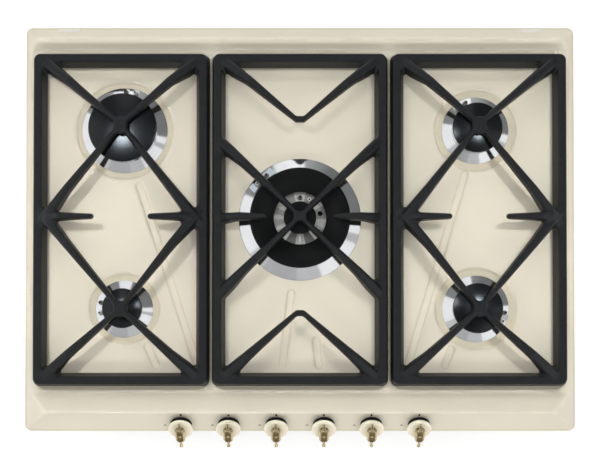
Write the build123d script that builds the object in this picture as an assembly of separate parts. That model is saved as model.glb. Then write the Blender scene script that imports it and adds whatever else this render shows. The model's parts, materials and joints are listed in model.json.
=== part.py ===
"""Built-in gas cooktop, 72 cm: an enamelled pressed top with five burners, six taps and three pan supports.

Millimetres. +X is right, +Y is to the rear and +Z is up. The origin is the centre of the top, on the
worktop plane that the seal rests on.
"""
from build123d import *
import math
import os

# ---------------------------------------------------------------- pressed top
PLATE_WIDTH = 720.0          # left to right, at the lower edge
PLATE_DEPTH = 530.0          # front to rear, at the lower edge
PLATE_CORNER = 9.0           # radius of the outline's corners
SHEET = 1.2                  # enamelled steel, measured upright
SEAL_HEIGHT = 1.0            # the foam strip under the edge
FRONT_CREST_Z = 26.0         # top of the raised front that carries the knobs
REAR_CREST_Z = 14.0          # top of the low rear upstand
PAN_Z = 6.5                  # the level between and around the three wells
WELL_FLOOR_Z = 4.0           # the level that the pan supports stand on
SIDE_RUN = 33.0              # how far a side slope runs in while it climbs to the front crest
REAR_RUN = 16.5              # how far the rear slope runs in while it climbs to the rear crest
REAR_CREST_WIDTH = 4.0
REAR_INNER_RUN = 10.0        # from the rear crest down to the pan level
APRON_RUN = 26.5             # from the front crest down to the pan level
CREST_RADIUS = 3.0
GROOVE_WIDTH = 6.6           # of a drain groove's floor
GROOVE_DEPTH = 1.2
GROOVE_RUN = 2.4             # how far a groove's side runs out while it climbs

# ---------------------------------------------------------------- pan supports
SUPPORT_GAP = 2.5
SUPPORT_MARGIN_X = 13.25      # from the plate's side edges to the outer supports
SUPPORT_MARGIN_Y = 97.0      # left in front of and behind the supports together
SUPPORT_WIDTH = (PLATE_WIDTH - 2 * SUPPORT_MARGIN_X - 2 * SUPPORT_GAP) / 3
SUPPORT_DEPTH = PLATE_DEPTH - SUPPORT_MARGIN_Y
SUPPORT_CENTRE_Y = 10.0
SUPPORT_CORNER = 8.0
BAR_BASE = 18.2              # width of a frame bar at its underside
BAR_TOP = 10.0               # width of a frame bar at its top
BAR_OUTER_DRAFT = 3.0        # how far its outer side leans in
FRAME_INNER_CORNER = 5.0
BAR_HEIGHT = 18.0
FOOT_HEIGHT = 6.0            # rubber foot, from the well floor to the frame
FOOT_RADIUS = 5.0
FOOT_STEM_RADIUS = 2.5
FOOT_STEM_HEIGHT = 4.0
PAN_PLANE_Z = 46.0           # where a pan stands
ARM_MID_DEPTH = 12.0         # depth of an arm past its ramp
ARM_END_DEPTH = 9.0          # depth of an arm over the burner
ARM_ROOT_WIDTH = 17.5
ARM_MID_WIDTH = 13.4
ARM_END_WIDTH = 7.6
ARM_TOP_SHARE = 0.62         # top width of an arm over its lower width
CORNER_INSET = 5.8           # from the side bar's middle line to an arm's root in the corner
FINGER_ROOT_WIDTH = 12.6
FINGER_TIP_WIDTH = 8.2
FINGER_CLEAR = 38.0          # from a side support's middle line to the tips of its fingers
MIDDLE_FINGER_CLEAR = 46.0   # the same on the middle support
NODE_INSET = 10.0            # from the side bar's middle line to where the arms of two crossings meet
V_REACH = 120.0              # from the middle support's crossing to the tips of its two V shapes
MIDDLE_ARM_SPREAD = 101.0    # along Y, from the middle crossing to where its arms meet the side bars
CROSSING_SPREAD = 1.2        # how much further apart the side crossings are than the burners, each way
CROSSING_LENGTH = 20.0       # left to right, at its underside
CROSSING_DEPTH = 15.6        # front to rear, at its underside
CROSSING_DRAFT = 2.2
CROSSING_POCKET = (10.0, 4.6, 0.9)

# ---------------------------------------------------------------- burners
BURNER_X = SUPPORT_WIDTH     # the side burners, from the middle line
BURNER_Y = 11.5              # the middle burner
BURNER_SPREAD = 116.91         # the side burners, in front of and behind the middle one
DISH_DEPTH = 1.5
CAP_SEAT_Z = 23.0            # top of every flame spreader's crown
CAP_EDGE = 5.0               # height of a cap's edge
CAP_DOME = 3.0               # how far a cap's middle stands above its edge
RIM_ABOVE_FLOOR = 3.5        # a burner cup's rim above the dish
COLLAR_SHEET = 1.2
COLLAR_TOP_Z = 16.0
COLLAR_LIP = 1.0             # upright edge at its foot
COLLAR_SLOPE = 25.0          # degrees, from its lip up to its neck
CUP_DEPTH = 34.0             # from the dish down to the underside of a burner cup
CUP_FLANGE = 2.5             # thickness of a cup's flange
CUP_FLANGE_LIMIT = 45.0      # its radius on a side burner, so that it clears the box
EAR_RADIUS = 5.5             # of the flange's ears, which carry the probes
PORT_WIDTH = 2.0
PORT_HEIGHT = 3.0
PORT_PITCH = 6.5             # between flame ports, along the crown
PROBE_RADIUS = 2.6
PROBE_CLEARANCE = 0.15
PROBE_BOTTOM_Z = -19.0
INNER_PROBE_BOTTOM_Z = -27.0
SPARK_TIP_Z = 20.5
THERMO_TIP_Z = 19.0
INJECTOR_RADIUS = 4.0
HOLDER_RADIUS = 7.0
HOLDER_HEIGHT = 17.0

# ---------------------------------------------------------------- knobs and taps
KNOB_PITCH = 61.5
KNOB_COUNT = 6
KNOB_RADIUS = 16.0
KNOB_BACK = 10.8             # the skirt's back, above the front slope
KNOB_FRONT = 15.2            # the skirt's face, above the front slope
KNOB_PUSH = 3.0              # how far a knob is pressed in to light its burner
BEZEL_FOOT_RADIUS = 8.6
BEZEL_RADIUS = 13.8          # of its flared lip, just behind the skirt
BEZEL_HEIGHT = 7.4
BEZEL_BORE = 6.6
HUB_RADIUS = 5.6
HUB_BACK = 4.0
STEM_RADIUS = 3.0
STEM_FLAT = 2.2              # the D flat, from the stem's axis
STEM_FRONT = 12.6            # its outer end, in the knob's hub
STEM_BACK = -46.0            # its inner end, in the bore of the tap's plug
STEM_END_GAP = 1.0           # left at the bore's end when the knob is pressed
STEM_HOLE = 5.0              # in the pressed top
LEVER_WIDTH = 12.8
LEVER_LENGTH = 25.0
LEVER_BACK = 20.0
LEVER_FRONT = 26.2
POINTER_REACH = 20.0
TAIL_REACH = 23.0
TAIL_RADIUS = 2.2
RUNNING = 0.08               # radial clearance of a turning or sliding fit
TAP_FRONT = 36.0             # the tap body's front, below the slope and along the stem
TAP_LENGTH = 26.0
TAP_RADIUS = 11.0
TAP_NECK_LENGTH = 8.0
TAP_NECK_RADIUS = 7.0
ROTOR_RADIUS = 8.0
ROTOR_END_PLAY = 0.3
NOSE_RADIUS = 6.0
NOSE_LENGTH = 8.0
MAGNET_RADIUS = 6.0
MAGNET_REACH = 32.0          # the flame-failure magnet's end, from the stem's axis
MANIFOLD_RADIUS = 7.0
MANIFOLD_GAP = 0.5           # between a tap body and the gas rail beside it
PIPE_RADIUS = 4.0
PIPE_Z = -44.5

# ---------------------------------------------------------------- box below the worktop
PLATE_OVER_X = 160.0         # how much wider the plate is than its cut-out
PLATE_OVER_Y = 50.0
CUTOUT_WIDTH = PLATE_WIDTH - PLATE_OVER_X
CUTOUT_DEPTH = PLATE_DEPTH - PLATE_OVER_Y
CUTOUT_MARGIN = 3.5          # from the cut-out's edge to the box, left and right
CUTOUT_MARGIN_Y = 4.0
BOX_BOTTOM_Z = -58.0
BOX_TOP_Z = 1.1
BOX_SHEET = 0.8
BOX_CORNER = 6.0
BOX_FLANGE = 8.0
NOTCH_X = 76.5               # the stepped corner at the rear right, where gas and power come in
NOTCH_Y = 50.0
STEM_NOTCH_WIDTH = 18.0
STEM_NOTCH_DEPTH = 11.0        # below a stem's axis, where it passes the box's front
GAS_INSET = 14.5             # from the box's side to the gas inlet's axis
GAS_Z = -30.0
GAS_THREAD_RADIUS = 10.48    # half-inch pipe thread, over its crests
GAS_THREAD_LENGTH = 15.0
ELBOW_RADIUS = 12.0
ELBOW_OFFSET = 16.0          # from the notch's wall to the inlet's axis
GLAND_BORE = 4.2
GLAND_RADIUS = 6.0
GLAND_NUT_RADIUS = 9.0
GLAND_Z = -34.0
GLAND_INSET = 16.0           # from the box's rear face to the gland's axis
CLAMP_WIDTH = 24.0
CLAMP_SHEET = 2.0
CLAMP_REACH = 18.0
CLAMP_TOP_Z = -12.0
CLAMP_FOOT_Z = -42.0
CLAMP_FRONT_INSET = 51.5     # from the box's side
CLAMP_REAR_INSET = 50.0      # from the step in the box's rear
SLOT_CAP_INSET = 57.0        # from the plate's side edge
SLOT_CAP_LENGTH = 29.0
SLOT_CAP_WIDTH = 5.0

# ---------------------------------------------------------------- worked out
FRONT_EDGE_Y = -PLATE_DEPTH / 2
REAR_EDGE_Y = PLATE_DEPTH / 2
FRONT_RISE = FRONT_CREST_Z - SEAL_HEIGHT
FRONT_CREST_Y = FRONT_EDGE_Y + FRONT_RISE
FACE = (0.0, FRONT_EDGE_Y + FRONT_RISE / 2, SEAL_HEIGHT + FRONT_RISE / 2)
SLOPE = math.sqrt(0.5)
SUPPORT_PITCH = SUPPORT_WIDTH + SUPPORT_GAP
FRAME_Z = WELL_FLOOR_Z + FOOT_HEIGHT
FRAME_TOP_Z = FRAME_Z + BAR_HEIGHT
BAR_LINE_X = SUPPORT_WIDTH / 2 - BAR_BASE / 2
BAR_LINE_Y = SUPPORT_DEPTH / 2 - BAR_BASE / 2
DISH_Z = WELL_FLOOR_Z - DISH_DEPTH
BOX_X = CUTOUT_WIDTH / 2 - CUTOUT_MARGIN
BOX_Y = CUTOUT_DEPTH / 2 - CUTOUT_MARGIN_Y
STEM_NOTCH_Z = FACE[2] - (-BOX_Y - FACE[1]) - STEM_NOTCH_DEPTH
NOTCH_WALL_X = BOX_X - NOTCH_X
NOTCH_WALL_Y = BOX_Y - NOTCH_Y
GAS_X = BOX_X - GAS_INSET
CLAMP_FRONT_X = BOX_X - CLAMP_FRONT_INSET
CLAMP_REAR_X = NOTCH_WALL_X - CLAMP_REAR_INSET
SLOT_CAP_X = PLATE_WIDTH / 2 - SLOT_CAP_INSET
MANIFOLD_ALONG = TAP_FRONT + TAP_LENGTH / 2
MANIFOLD_SIDE = TAP_RADIUS + MANIFOLD_GAP + MANIFOLD_RADIUS

# name, x, y, cap radius, collar radius, dish radius (0 for none), probe angles in degrees, probe radius
BURNERS = {
    "rear_left": (-BURNER_X, BURNER_Y + BURNER_SPREAD, 44.4, 56.0, 64.0, (88.0, 73.0), 50.0),
    "front_left": (-BURNER_X, BURNER_Y - BURNER_SPREAD, 25.8, 37.5, 47.0, (165.0, 190.0), 31.0),
    "centre": (0.0, BURNER_Y, 65.0, 80.0, 0.0, (127.5, 140.5), 72.0),
    "rear_right": (BURNER_X, BURNER_Y + BURNER_SPREAD, 32.4, 43.8, 54.0, (111.0, 134.0), 37.5),
    "front_right": (BURNER_X, BURNER_Y - BURNER_SPREAD, 32.4, 43.8, 54.0, (352.0, 334.0), 37.5),
}
SIDE_BURNERS = ("rear_left", "front_left", "rear_right", "front_right")
CENTRE_HOLE = 34.0           # radius of the hole in the middle burner's outer cap
INNER_CAP = 21.0             # radius of the middle burner's inner cap
INNER_PROBES = ((28.0, 90.0), (28.0, 64.0), (27.0, 15.0))

# ---------------------------------------------------------------- small helpers


def turned(points):
    """A solid of revolution about Z from (radius, z) points."""
    outline = Polyline(*[(radius, 0, z) for radius, z in points], close=True)
    return revolve(make_face(outline), Axis.Z)


def rod(radius, low, high):
    return Pos(0, 0, low) * Cylinder(radius, high - low, align=(Align.CENTER, Align.CENTER, Align.MIN))


def block(x_low, x_high, y_low, y_high, z_low, z_high):
    size = (x_high - x_low, y_high - y_low, z_high - z_low)
    return Pos(x_low, y_low, z_low) * Box(*size, align=(Align.MIN, Align.MIN, Align.MIN))


def joined(solids):
    """One solid from pieces that overlap."""
    first, *rest = solids
    return first.fuse(*rest) if rest else first


def group(solids):
    """Separate solids that share a node."""
    return Compound(children=[solid for shape in solids for solid in shape.solids()])


def along_y(radius, x, y_low, y_high, z):
    return Pos(x, y_low, z) * Rot(-90, 0, 0) * rod(radius, 0, y_high - y_low)


def along_x(radius, x_low, x_high, y, z):
    return Pos(x_low, y, z) * Rot(0, 90, 0) * rod(radius, 0, x_high - x_low)


def bent_pipe(points, radii, radius):
    """A round pipe along straight runs joined by tangent arcs."""
    path = FilletPolyline(*points, radius=radii)
    start = Plane(origin=path @ 0, z_dir=path % 0)
    return sweep(start * Circle(radius), path=path)


def knob_x(number):
    return (number - (KNOB_COUNT + 1) / 2) * KNOB_PITCH


def on_slope(x):
    """The frame of a knob: its Z stands out of the front slope, its Y points up the slope."""
    return Plane(origin=(x, FACE[1], FACE[2]), x_dir=(1, 0, 0), z_dir=(0, -SLOPE, SLOPE)).location


def below_slope(depth, side=0.0):
    """Y and Z of a point under the front slope, along the stem and then up the slope's direction."""
    y = FACE[1] + SLOPE * depth + SLOPE * side
    z = FACE[2] - SLOPE * depth + SLOPE * side
    return y, z


# ---------------------------------------------------------------- pressed top


def tray_blank():
    """The pressing as a solid block: a hipped rim, a raised front and a low rear upstand."""
    top_depth_rear = REAR_RUN * FRONT_RISE / (REAR_CREST_Z - SEAL_HEIGHT)
    front, rear = FRONT_CREST_Y, REAR_EDGE_Y - top_depth_rear
    low = Pos(0, 0, SEAL_HEIGHT) * RectangleRounded(PLATE_WIDTH, PLATE_DEPTH, PLATE_CORNER)
    high_size = (PLATE_WIDTH - 2 * SIDE_RUN, rear - front)
    high = Pos(0, (front + rear) / 2, FRONT_CREST_Z) * RectangleRounded(*high_size, CREST_RADIUS)
    hipped = loft([low, high], ruled=True)
    rear_crest = REAR_EDGE_Y - REAR_RUN
    section = [
        (FRONT_EDGE_Y - 1, FRONT_CREST_Z + 1),
        (FRONT_CREST_Y - 1, FRONT_CREST_Z + 1),
        (FRONT_CREST_Y, FRONT_CREST_Z),
        (FRONT_CREST_Y + APRON_RUN, PAN_Z),
        (rear_crest - REAR_CREST_WIDTH - REAR_INNER_RUN, PAN_Z),
        (rear_crest - REAR_CREST_WIDTH, REAR_CREST_Z),
        (REAR_EDGE_Y + 1, REAR_CREST_Z),
        (REAR_EDGE_Y + 1, 0),
        (FRONT_EDGE_Y - 1, 0),
    ]
    face = make_face(Polyline(*[(-PLATE_WIDTH / 2, y, z) for y, z in section], close=True))
    return hipped & extrude(face, PLATE_WIDTH, dir=(1, 0, 0))


def well(x):
    """The shallow recess that one pan support stands in."""
    wall = PAN_Z - WELL_FLOOR_Z
    width = SUPPORT_WIDTH - 2 * wall + 0.5
    depth = SUPPORT_DEPTH + 1.0
    over = 1.0
    floor = Pos(x, SUPPORT_CENTRE_Y, WELL_FLOOR_Z) * RectangleRounded(width, depth, 12)
    grow = 2 * (wall + over)
    mouth = Pos(x, SUPPORT_CENTRE_Y, PAN_Z + over) * RectangleRounded(width + grow, depth + grow, 15.5)
    return loft([floor, mouth], ruled=True)


def groove(start, end):
    """A pressed drain groove with sloping walls and round ends."""
    length = math.dist(start, end)
    middle = ((start[0] + end[0]) / 2, (start[1] + end[1]) / 2)
    angle = math.degrees(math.atan2(end[1] - start[1], end[0] - start[0]))
    over = 0.4
    rise = GROOVE_DEPTH + over
    low = SlotCenterToCenter(length, GROOVE_WIDTH)
    high = SlotCenterToCenter(length, GROOVE_WIDTH + 2 * GROOVE_RUN * rise / GROOVE_DEPTH)
    place = Pos(middle[0], middle[1], WELL_FLOOR_Z - GROOVE_DEPTH) * Rot(0, 0, angle)
    return place * loft([low, Pos(0, 0, rise) * high], ruled=True)


def grooves():
    """Each starts beside a burner and runs to its support's front bar."""
    front = SUPPORT_CENTRE_Y - SUPPORT_DEPTH / 2 + 6
    runs = [
        ("rear_left", -1, (19.1, -71.9), 104.8),
        ("front_left", -1, (30.0, -48.1), 53.7),
        ("centre", 0, (-11.4, -96.1), -25.8),
        ("centre", 0, (21.2, -158.9), 26.6),
        ("rear_right", 1, (-13.8, -57.5), -97.6),
        ("front_right", 1, (-32.1, -52.3), -50.7),
    ]
    pressed = []
    for name, side, offset, end in runs:
        start = (BURNERS[name][0] + offset[0], BURNERS[name][1] + offset[1])
        pressed.append(groove(start, (side * SUPPORT_PITCH + end, front)))
    return pressed


def dish(name):
    x, y, _, _, radius, _, _ = BURNERS[name]
    run, over = 2.5, 0.6
    mouth = radius + run * over / DISH_DEPTH
    steps = [(0, DISH_Z), (radius - run, DISH_Z), (mouth, WELL_FLOOR_Z + over), (0, WELL_FLOOR_Z + over)]
    return Pos(x, y, 0) * turned(steps)


def burner_floor(name):
    return DISH_Z if BURNERS[name][4] else WELL_FLOOR_Z


def rim_radius(name):
    """Outer radius of a burner cup's rim, which stands in the top's opening."""
    return BURNERS[name][2] - 4.0


def probe_places(name):
    x, y, _, _, _, angles, radius = BURNERS[name]
    return [
        (x + radius * math.cos(math.radians(angle)), y + radius * math.sin(math.radians(angle)))
        for angle in angles
    ]


def screw_places(name):
    """Two fixing screws a burner, under its collar."""
    x, y, _, collar, _, angles, _ = BURNERS[name]
    radius = (rim_radius(name) + collar) / 2 + 0.5
    free = (angles[0] + angles[1]) / 2
    return [
        (x + radius * math.cos(math.radians(free + turn)), y + radius * math.sin(math.radians(free + turn)))
        for turn in (140, 220)
    ]


def top_plate():
    cuts = [well(SUPPORT_PITCH * side) for side in (-1, 0, 1)]
    cuts += grooves()
    cuts += [dish(name) for name in SIDE_BURNERS]
    skin = tray_blank() - cuts
    shell = skin - Pos(0, 0, -SHEET) * skin
    holes = []
    for name, burner in BURNERS.items():
        holes.append(Pos(burner[0], burner[1], 0) * rod(rim_radius(name) + 0.6, -10, 20))
        holes += [Pos(x, y, 0) * rod(PROBE_RADIUS + 1.0, -10, 20) for x, y in probe_places(name)]
        holes += [Pos(x, y, 0) * rod(1.8, -10, 20) for x, y in screw_places(name)]
    for number in range(1, KNOB_COUNT + 1):
        holes.append(on_slope(knob_x(number)) * rod(STEM_HOLE, -6, 6))
    for side in (-1, 1):
        holes.append(slot_cap_place(side) * block(-11, 11, -1.2, 1.2, -4, 4))
    return shell - holes


def slot_cap_place(side):
    """A frame on the rear slope, over one of the two slots for an optional lid."""
    rise = REAR_CREST_Z - SEAL_HEIGHT
    lean = math.hypot(rise, REAR_RUN)
    share = 1 / 3
    origin = (side * SLOT_CAP_X, REAR_EDGE_Y - REAR_RUN * share, SEAL_HEIGHT + rise * share)
    return Plane(origin=origin, x_dir=(1, 0, 0), z_dir=(0, rise / lean, REAR_RUN / lean)).location


def slot_caps():
    """Plastic plugs that close the lid slots: a head on the slope and a shank in the slot."""
    caps = []
    for side in (-1, 1):
        head = extrude(SlotOverall(SLOT_CAP_LENGTH, SLOT_CAP_WIDTH), 1.0)
        shank = block(-10.8, 10.8, -1.0, 1.0, -3.0, 0.5)
        caps.append(slot_cap_place(side) * (head + shank))
    return group(caps)


def worktop_seal():
    outer = RectangleRounded(PLATE_WIDTH - 0.4, PLATE_DEPTH - 0.4, PLATE_CORNER - 0.2)
    inner = RectangleRounded(PLATE_WIDTH - 14, PLATE_DEPTH - 14, PLATE_CORNER - 4)
    return extrude(outer - inner, SEAL_HEIGHT)


# ---------------------------------------------------------------- pan supports


def section_at(point, direction, z_low, z_high, width):
    """An arm's cross-section: narrower at the top, with its edges taken off."""
    across = (-direction[1], direction[0])
    half, half_top = width / 2, width / 2 * ARM_TOP_SHARE
    ease = min(2.2, (z_high - z_low) / 4)
    ring = [
        (-half, z_low),
        (half, z_low),
        (half - (half - half_top) * 0.75, z_high - ease),
        (half_top - 1.2, z_high),
        (-half_top + 1.2, z_high),
        (-half + (half - half_top) * 0.75, z_high - ease),
    ]
    corners = [(point[0] + across[0] * side, point[1] + across[1] * side, z) for side, z in ring]
    return make_face(Polyline(*corners, close=True))


def arm(root, tip, widths=(ARM_ROOT_WIDTH, ARM_MID_WIDTH, ARM_END_WIDTH), ramp=(22.0, 46.0)):
    """A cast arm that climbs from the frame to the pan plane and thins towards its tip."""
    length = math.dist(root, tip)
    direction = ((tip[0] - root[0]) / length, (tip[1] - root[1]) / length)
    climb = FRAME_TOP_Z + 0.55 * (PAN_PLANE_Z - FRAME_TOP_Z)
    mid_share = (ramp[1] - ramp[0]) / length
    stations = [
        (0.0, FRAME_Z + 1.5, FRAME_TOP_Z - 0.5, widths[0]),
        (ramp[0], FRAME_Z + 8.0, climb, widths[0] * (1 - mid_share) + widths[1] * mid_share),
        (ramp[1], PAN_PLANE_Z - ARM_MID_DEPTH, PAN_PLANE_Z, widths[1]),
        (length, PAN_PLANE_Z - ARM_END_DEPTH, PAN_PLANE_Z, widths[2]),
    ]
    faces = []
    for run, z_low, z_high, width in stations:
        point = (root[0] + direction[0] * run, root[1] + direction[1] * run)
        faces.append(section_at(point, direction, z_low, z_high, width))
    return loft(faces, ruled=True)


def finger(root, tip):
    """A short arm with a rounded free end."""
    body = arm(root, tip, (FINGER_ROOT_WIDTH + 3, FINGER_ROOT_WIDTH, FINGER_TIP_WIDTH), (12.0, 28.0))
    end = Pos(tip[0], tip[1], 0) * turned([
        (0, PAN_PLANE_Z - ARM_END_DEPTH),
        (FINGER_TIP_WIDTH / 2, PAN_PLANE_Z - ARM_END_DEPTH),
        (FINGER_TIP_WIDTH / 2 * ARM_TOP_SHARE, PAN_PLANE_Z),
        (0, PAN_PLANE_Z),
    ])
    return [body, end]


def crossing_boss(x, y):
    """The swelling where four arms meet, with a shallow pocket in its top."""
    low = PAN_PLANE_Z - ARM_END_DEPTH
    length, depth = CROSSING_LENGTH, CROSSING_DEPTH
    base = Pos(0, 0, low) * RectangleRounded(length, depth, 5.0)
    crown_size = (length - 2 * CROSSING_DRAFT, depth - 2 * CROSSING_DRAFT)
    crown = Pos(0, 0, PAN_PLANE_Z) * RectangleRounded(*crown_size, 3.5)
    return Pos(x, y, 0) * loft([base, crown], ruled=True)


def crossing_pocket(x, y):
    length, depth, sink = CROSSING_POCKET
    face = Pos(x, y, PAN_PLANE_Z - sink) * RectangleRounded(length - 2 * sink, depth - 2 * sink, 1.0)
    mouth = Pos(x, y, PAN_PLANE_Z + sink) * RectangleRounded(length + 2 * sink, depth + 2 * sink, 2.0)
    return loft([face, mouth], ruled=True)


def support_frame(centre_x):
    """The drafted frame round one pan support."""
    draft = BAR_OUTER_DRAFT
    layers = []
    insets = ((0.0, draft, SUPPORT_CORNER), (BAR_BASE, draft + BAR_TOP, FRAME_INNER_CORNER))
    for inset_low, inset_high, radius in insets:
        low = (SUPPORT_WIDTH - 2 * inset_low, SUPPORT_DEPTH - 2 * inset_low)
        high = (SUPPORT_WIDTH - 2 * inset_high, SUPPORT_DEPTH - 2 * inset_high)
        lower = Pos(0, 0, FRAME_Z) * RectangleRounded(*low, radius)
        upper = Pos(0, 0, FRAME_TOP_Z) * RectangleRounded(*high, radius)
        layers.append(loft([lower, upper], ruled=True))
    return Pos(centre_x, SUPPORT_CENTRE_Y, 0) * (layers[0] - layers[1])


def foot_places(centre_x):
    inset = BAR_BASE / 2 + 1.0
    return [
        (centre_x + sx * (SUPPORT_WIDTH / 2 - inset), SUPPORT_CENTRE_Y + sy * (SUPPORT_DEPTH / 2 - inset))
        for sx in (-1, 1)
        for sy in (-1, 1)
    ]


def support_feet(centre_x):
    feet = []
    for x, y in foot_places(centre_x):
        pad = rod(FOOT_RADIUS, WELL_FLOOR_Z, FRAME_Z)
        stem = rod(FOOT_STEM_RADIUS, FRAME_Z - 1, FRAME_Z + FOOT_STEM_HEIGHT)
        feet.append(Pos(x, y, 0) * (pad + stem))
    return group(feet)


def foot_sockets(centre_x):
    high = FRAME_Z + FOOT_STEM_HEIGHT + 0.3
    return [Pos(x, y, 0) * rod(FOOT_STEM_RADIUS + 0.05, FRAME_Z - 1, high) for x, y in foot_places(centre_x)]


def arm_corner(bar_x, turn, end):
    """Where an arm starts in a frame's corner."""
    return (bar_x - turn * CORNER_INSET, SUPPORT_CENTRE_Y + end * (BAR_LINE_Y - 2))


def side_support(side):
    """Two crossings in one frame, each over a burner, with a finger from each long bar."""
    centre = side * SUPPORT_PITCH
    cross_x = side * BURNER_X
    spread = BURNER_SPREAD + CROSSING_SPREAD
    rear, front = BURNER_Y + spread, BURNER_Y - spread
    pieces = [support_frame(centre)]
    for turn in (-1, 1):
        bar_x = centre + turn * BAR_LINE_X
        node = (bar_x - turn * NODE_INSET, BURNER_Y)
        for cross_y, end in ((rear, 1), (front, -1)):
            pieces.append(arm(arm_corner(bar_x, turn, end), (cross_x, cross_y)))
            reach = math.dist(node, (cross_x, cross_y))
            past = 1 + NODE_INSET / abs(node[0] - cross_x)
            root = (cross_x + (node[0] - cross_x) * past, cross_y + (node[1] - cross_y) * past)
            pieces.append(arm(root, (cross_x, cross_y), ramp=(24.0, 0.40 * reach)))
        pieces += finger((bar_x, BURNER_Y), (cross_x + turn * FINGER_CLEAR, BURNER_Y))
    pieces += [crossing_boss(cross_x, rear), crossing_boss(cross_x, front)]
    pockets = [crossing_pocket(cross_x, rear), crossing_pocket(cross_x, front)]
    return joined(pieces) - pockets - foot_sockets(centre)


def middle_support():
    """One crossing over the middle burner between two V shapes."""
    pieces = [support_frame(0.0), crossing_boss(0.0, BURNER_Y)]
    for turn in (-1, 1):
        bar_x = turn * BAR_LINE_X
        for end in (-1, 1):
            tip = (0.0, BURNER_Y + end * V_REACH)
            pieces.append(arm(arm_corner(bar_x, turn, end), tip, (ARM_ROOT_WIDTH, ARM_MID_WIDTH, 7.0)))
            pieces.append(arm((bar_x, BURNER_Y + end * MIDDLE_ARM_SPREAD), (0.0, BURNER_Y)))
        pieces += finger((bar_x, BURNER_Y), (turn * MIDDLE_FINGER_CLEAR, BURNER_Y))
    low = PAN_PLANE_Z - ARM_END_DEPTH
    for end in (-1, 1):
        tip = turned([(0, low), (5.0, low), (3.2, PAN_PLANE_Z), (0, PAN_PLANE_Z)])
        pieces.append(Pos(0, BURNER_Y + end * V_REACH, 0) * tip)
    return joined(pieces) - crossing_pocket(0.0, BURNER_Y) - foot_sockets(0.0)


# ---------------------------------------------------------------- burners


def burner_cup(name):
    """Die-cast cup under the top: a flange, a rim that stands in the opening, and a mixing chamber."""
    x, y, cap, collar, _, _, _ = BURNERS[name]
    floor = burner_floor(name)
    rim = rim_radius(name)
    bowl = 0.62 * cap
    under = floor - SHEET - 0.1
    bottom = floor - CUP_DEPTH
    limit = collar if name == "centre" else CUP_FLANGE_LIMIT
    flange = min(collar - 1.5, limit)
    profile = [
        (INJECTOR_RADIUS + 0.3, bottom),
        (13.0, bottom),
        (13.0, bottom + 6),
        (bowl, bottom + 14),
        (bowl, under - CUP_FLANGE),
        (flange, under - CUP_FLANGE),
        (flange, under),
        (rim, under),
        (rim, floor + RIM_ABOVE_FLOOR),
        (rim - 2.5, floor + RIM_ABOVE_FLOOR),
        (rim - 2.5, under - 0.5),
        (bowl - 2.5, under - 0.5),
        (bowl - 2.5, bottom + 15.5),
        (10.0, bottom + 8.5),
        (10.0, bottom + 3),
        (INJECTOR_RADIUS + 0.3, bottom + 3),
    ]
    cup = Pos(x, y, 0) * turned(profile)
    ears = [Pos(px, py, 0) * rod(EAR_RADIUS, under - CUP_FLANGE, under) for px, py in probe_places(name)]
    cup = joined([cup] + ears)
    holes = [Pos(px, py, 0) * rod(PROBE_RADIUS + PROBE_CLEARANCE, -30, 20) for px, py in probe_places(name)]
    holes += [Pos(px, py, 0) * rod(1.5, -30, 20) for px, py in screw_places(name)]
    if name == "centre":
        places = inner_probe_places()[:2]
        holes += [Pos(px, py, 0) * rod(PROBE_RADIUS + PROBE_CLEARANCE, -30, 20) for px, py in places]
    return cup - holes


def centre_injectors():
    """The middle burner has one injector for its inner ring and one for its outer ring."""
    return [(0.0, BURNER_Y), (24.0, BURNER_Y)]


def burner_cups():
    cups = [burner_cup(name) for name in SIDE_BURNERS]
    x, y, cap, _, _, _, _ = BURNERS["centre"]
    floor = burner_floor("centre")
    bottom = floor - CUP_DEPTH
    pad = Pos(24.0, y, 0) * rod(10, bottom, bottom + 14)
    chamber = Pos(x, y, 0) * rod(0.62 * cap - 2.5, bottom + 15.5, 0)
    bore = Pos(24.0, y, 0) * rod(INJECTOR_RADIUS + 0.3, bottom - 1, bottom + 20)
    cups.append((burner_cup("centre") + pad) - [bore, chamber])
    return group(cups)


def collar(name):
    """Polished ring round the burner: a lip on the top, a shallow cone, and a neck under the cap's edge."""
    x, y, cap, outer, _, _, _ = BURNERS[name]
    floor = burner_floor(name)
    inner = cap - 1.8
    shoulder = floor + COLLAR_LIP + (outer - inner) * math.tan(math.radians(COLLAR_SLOPE))
    cone = turned([
        (outer - 2.4, floor),
        (outer, floor),
        (outer, floor + COLLAR_LIP),
        (inner, shoulder),
        (inner, COLLAR_TOP_Z),
        (inner - COLLAR_SHEET, COLLAR_TOP_Z),
        (inner - COLLAR_SHEET, shoulder - 0.8),
    ])
    piece = Pos(x, y, 0) * cone
    if name == "centre":
        piece = with_probe_seat(piece, name)
    holes = [Pos(px, py, 0) * rod(PROBE_RADIUS + 0.7, -5, 30) for px, py in probe_places(name)]
    return piece - holes


def with_probe_seat(piece, name):
    """The middle collar is cut away over its two probes, and a flat seat closes the gap."""
    x, y, cap, outer, _, angles, _ = BURNERS[name]
    turn = (angles[0] + angles[1]) / 2
    floor = burner_floor(name)
    place = Pos(x, y, 0) * Rot(0, 0, turn)
    window = place * block(cap - 6, outer + 6, -19, 19, floor + 4.4, 30)
    seat = place * block(cap - 2.6, outer + 6, -19, 19, floor + 3.2, floor + 4.4)
    seat = seat & (Pos(x, y, 0) * rod(outer - 3.6, 0, 20))
    return (piece - window) + seat


def burner_collars():
    return group([collar(name) for name in BURNERS])


def port_cutters(crown, top, count):
    """Boxes that open the flame ports through a crown's upper edge."""
    cutters = []
    for index in range(count):
        cutter = block(crown - 7, crown + 3, -PORT_WIDTH / 2, PORT_WIDTH / 2, top - PORT_HEIGHT, top + 1)
        cutters.append(Rot(0, 0, 360 * index / count) * cutter)
    return cutters


def port_count(crown):
    return round(2 * math.pi * crown / PORT_PITCH)


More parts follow.
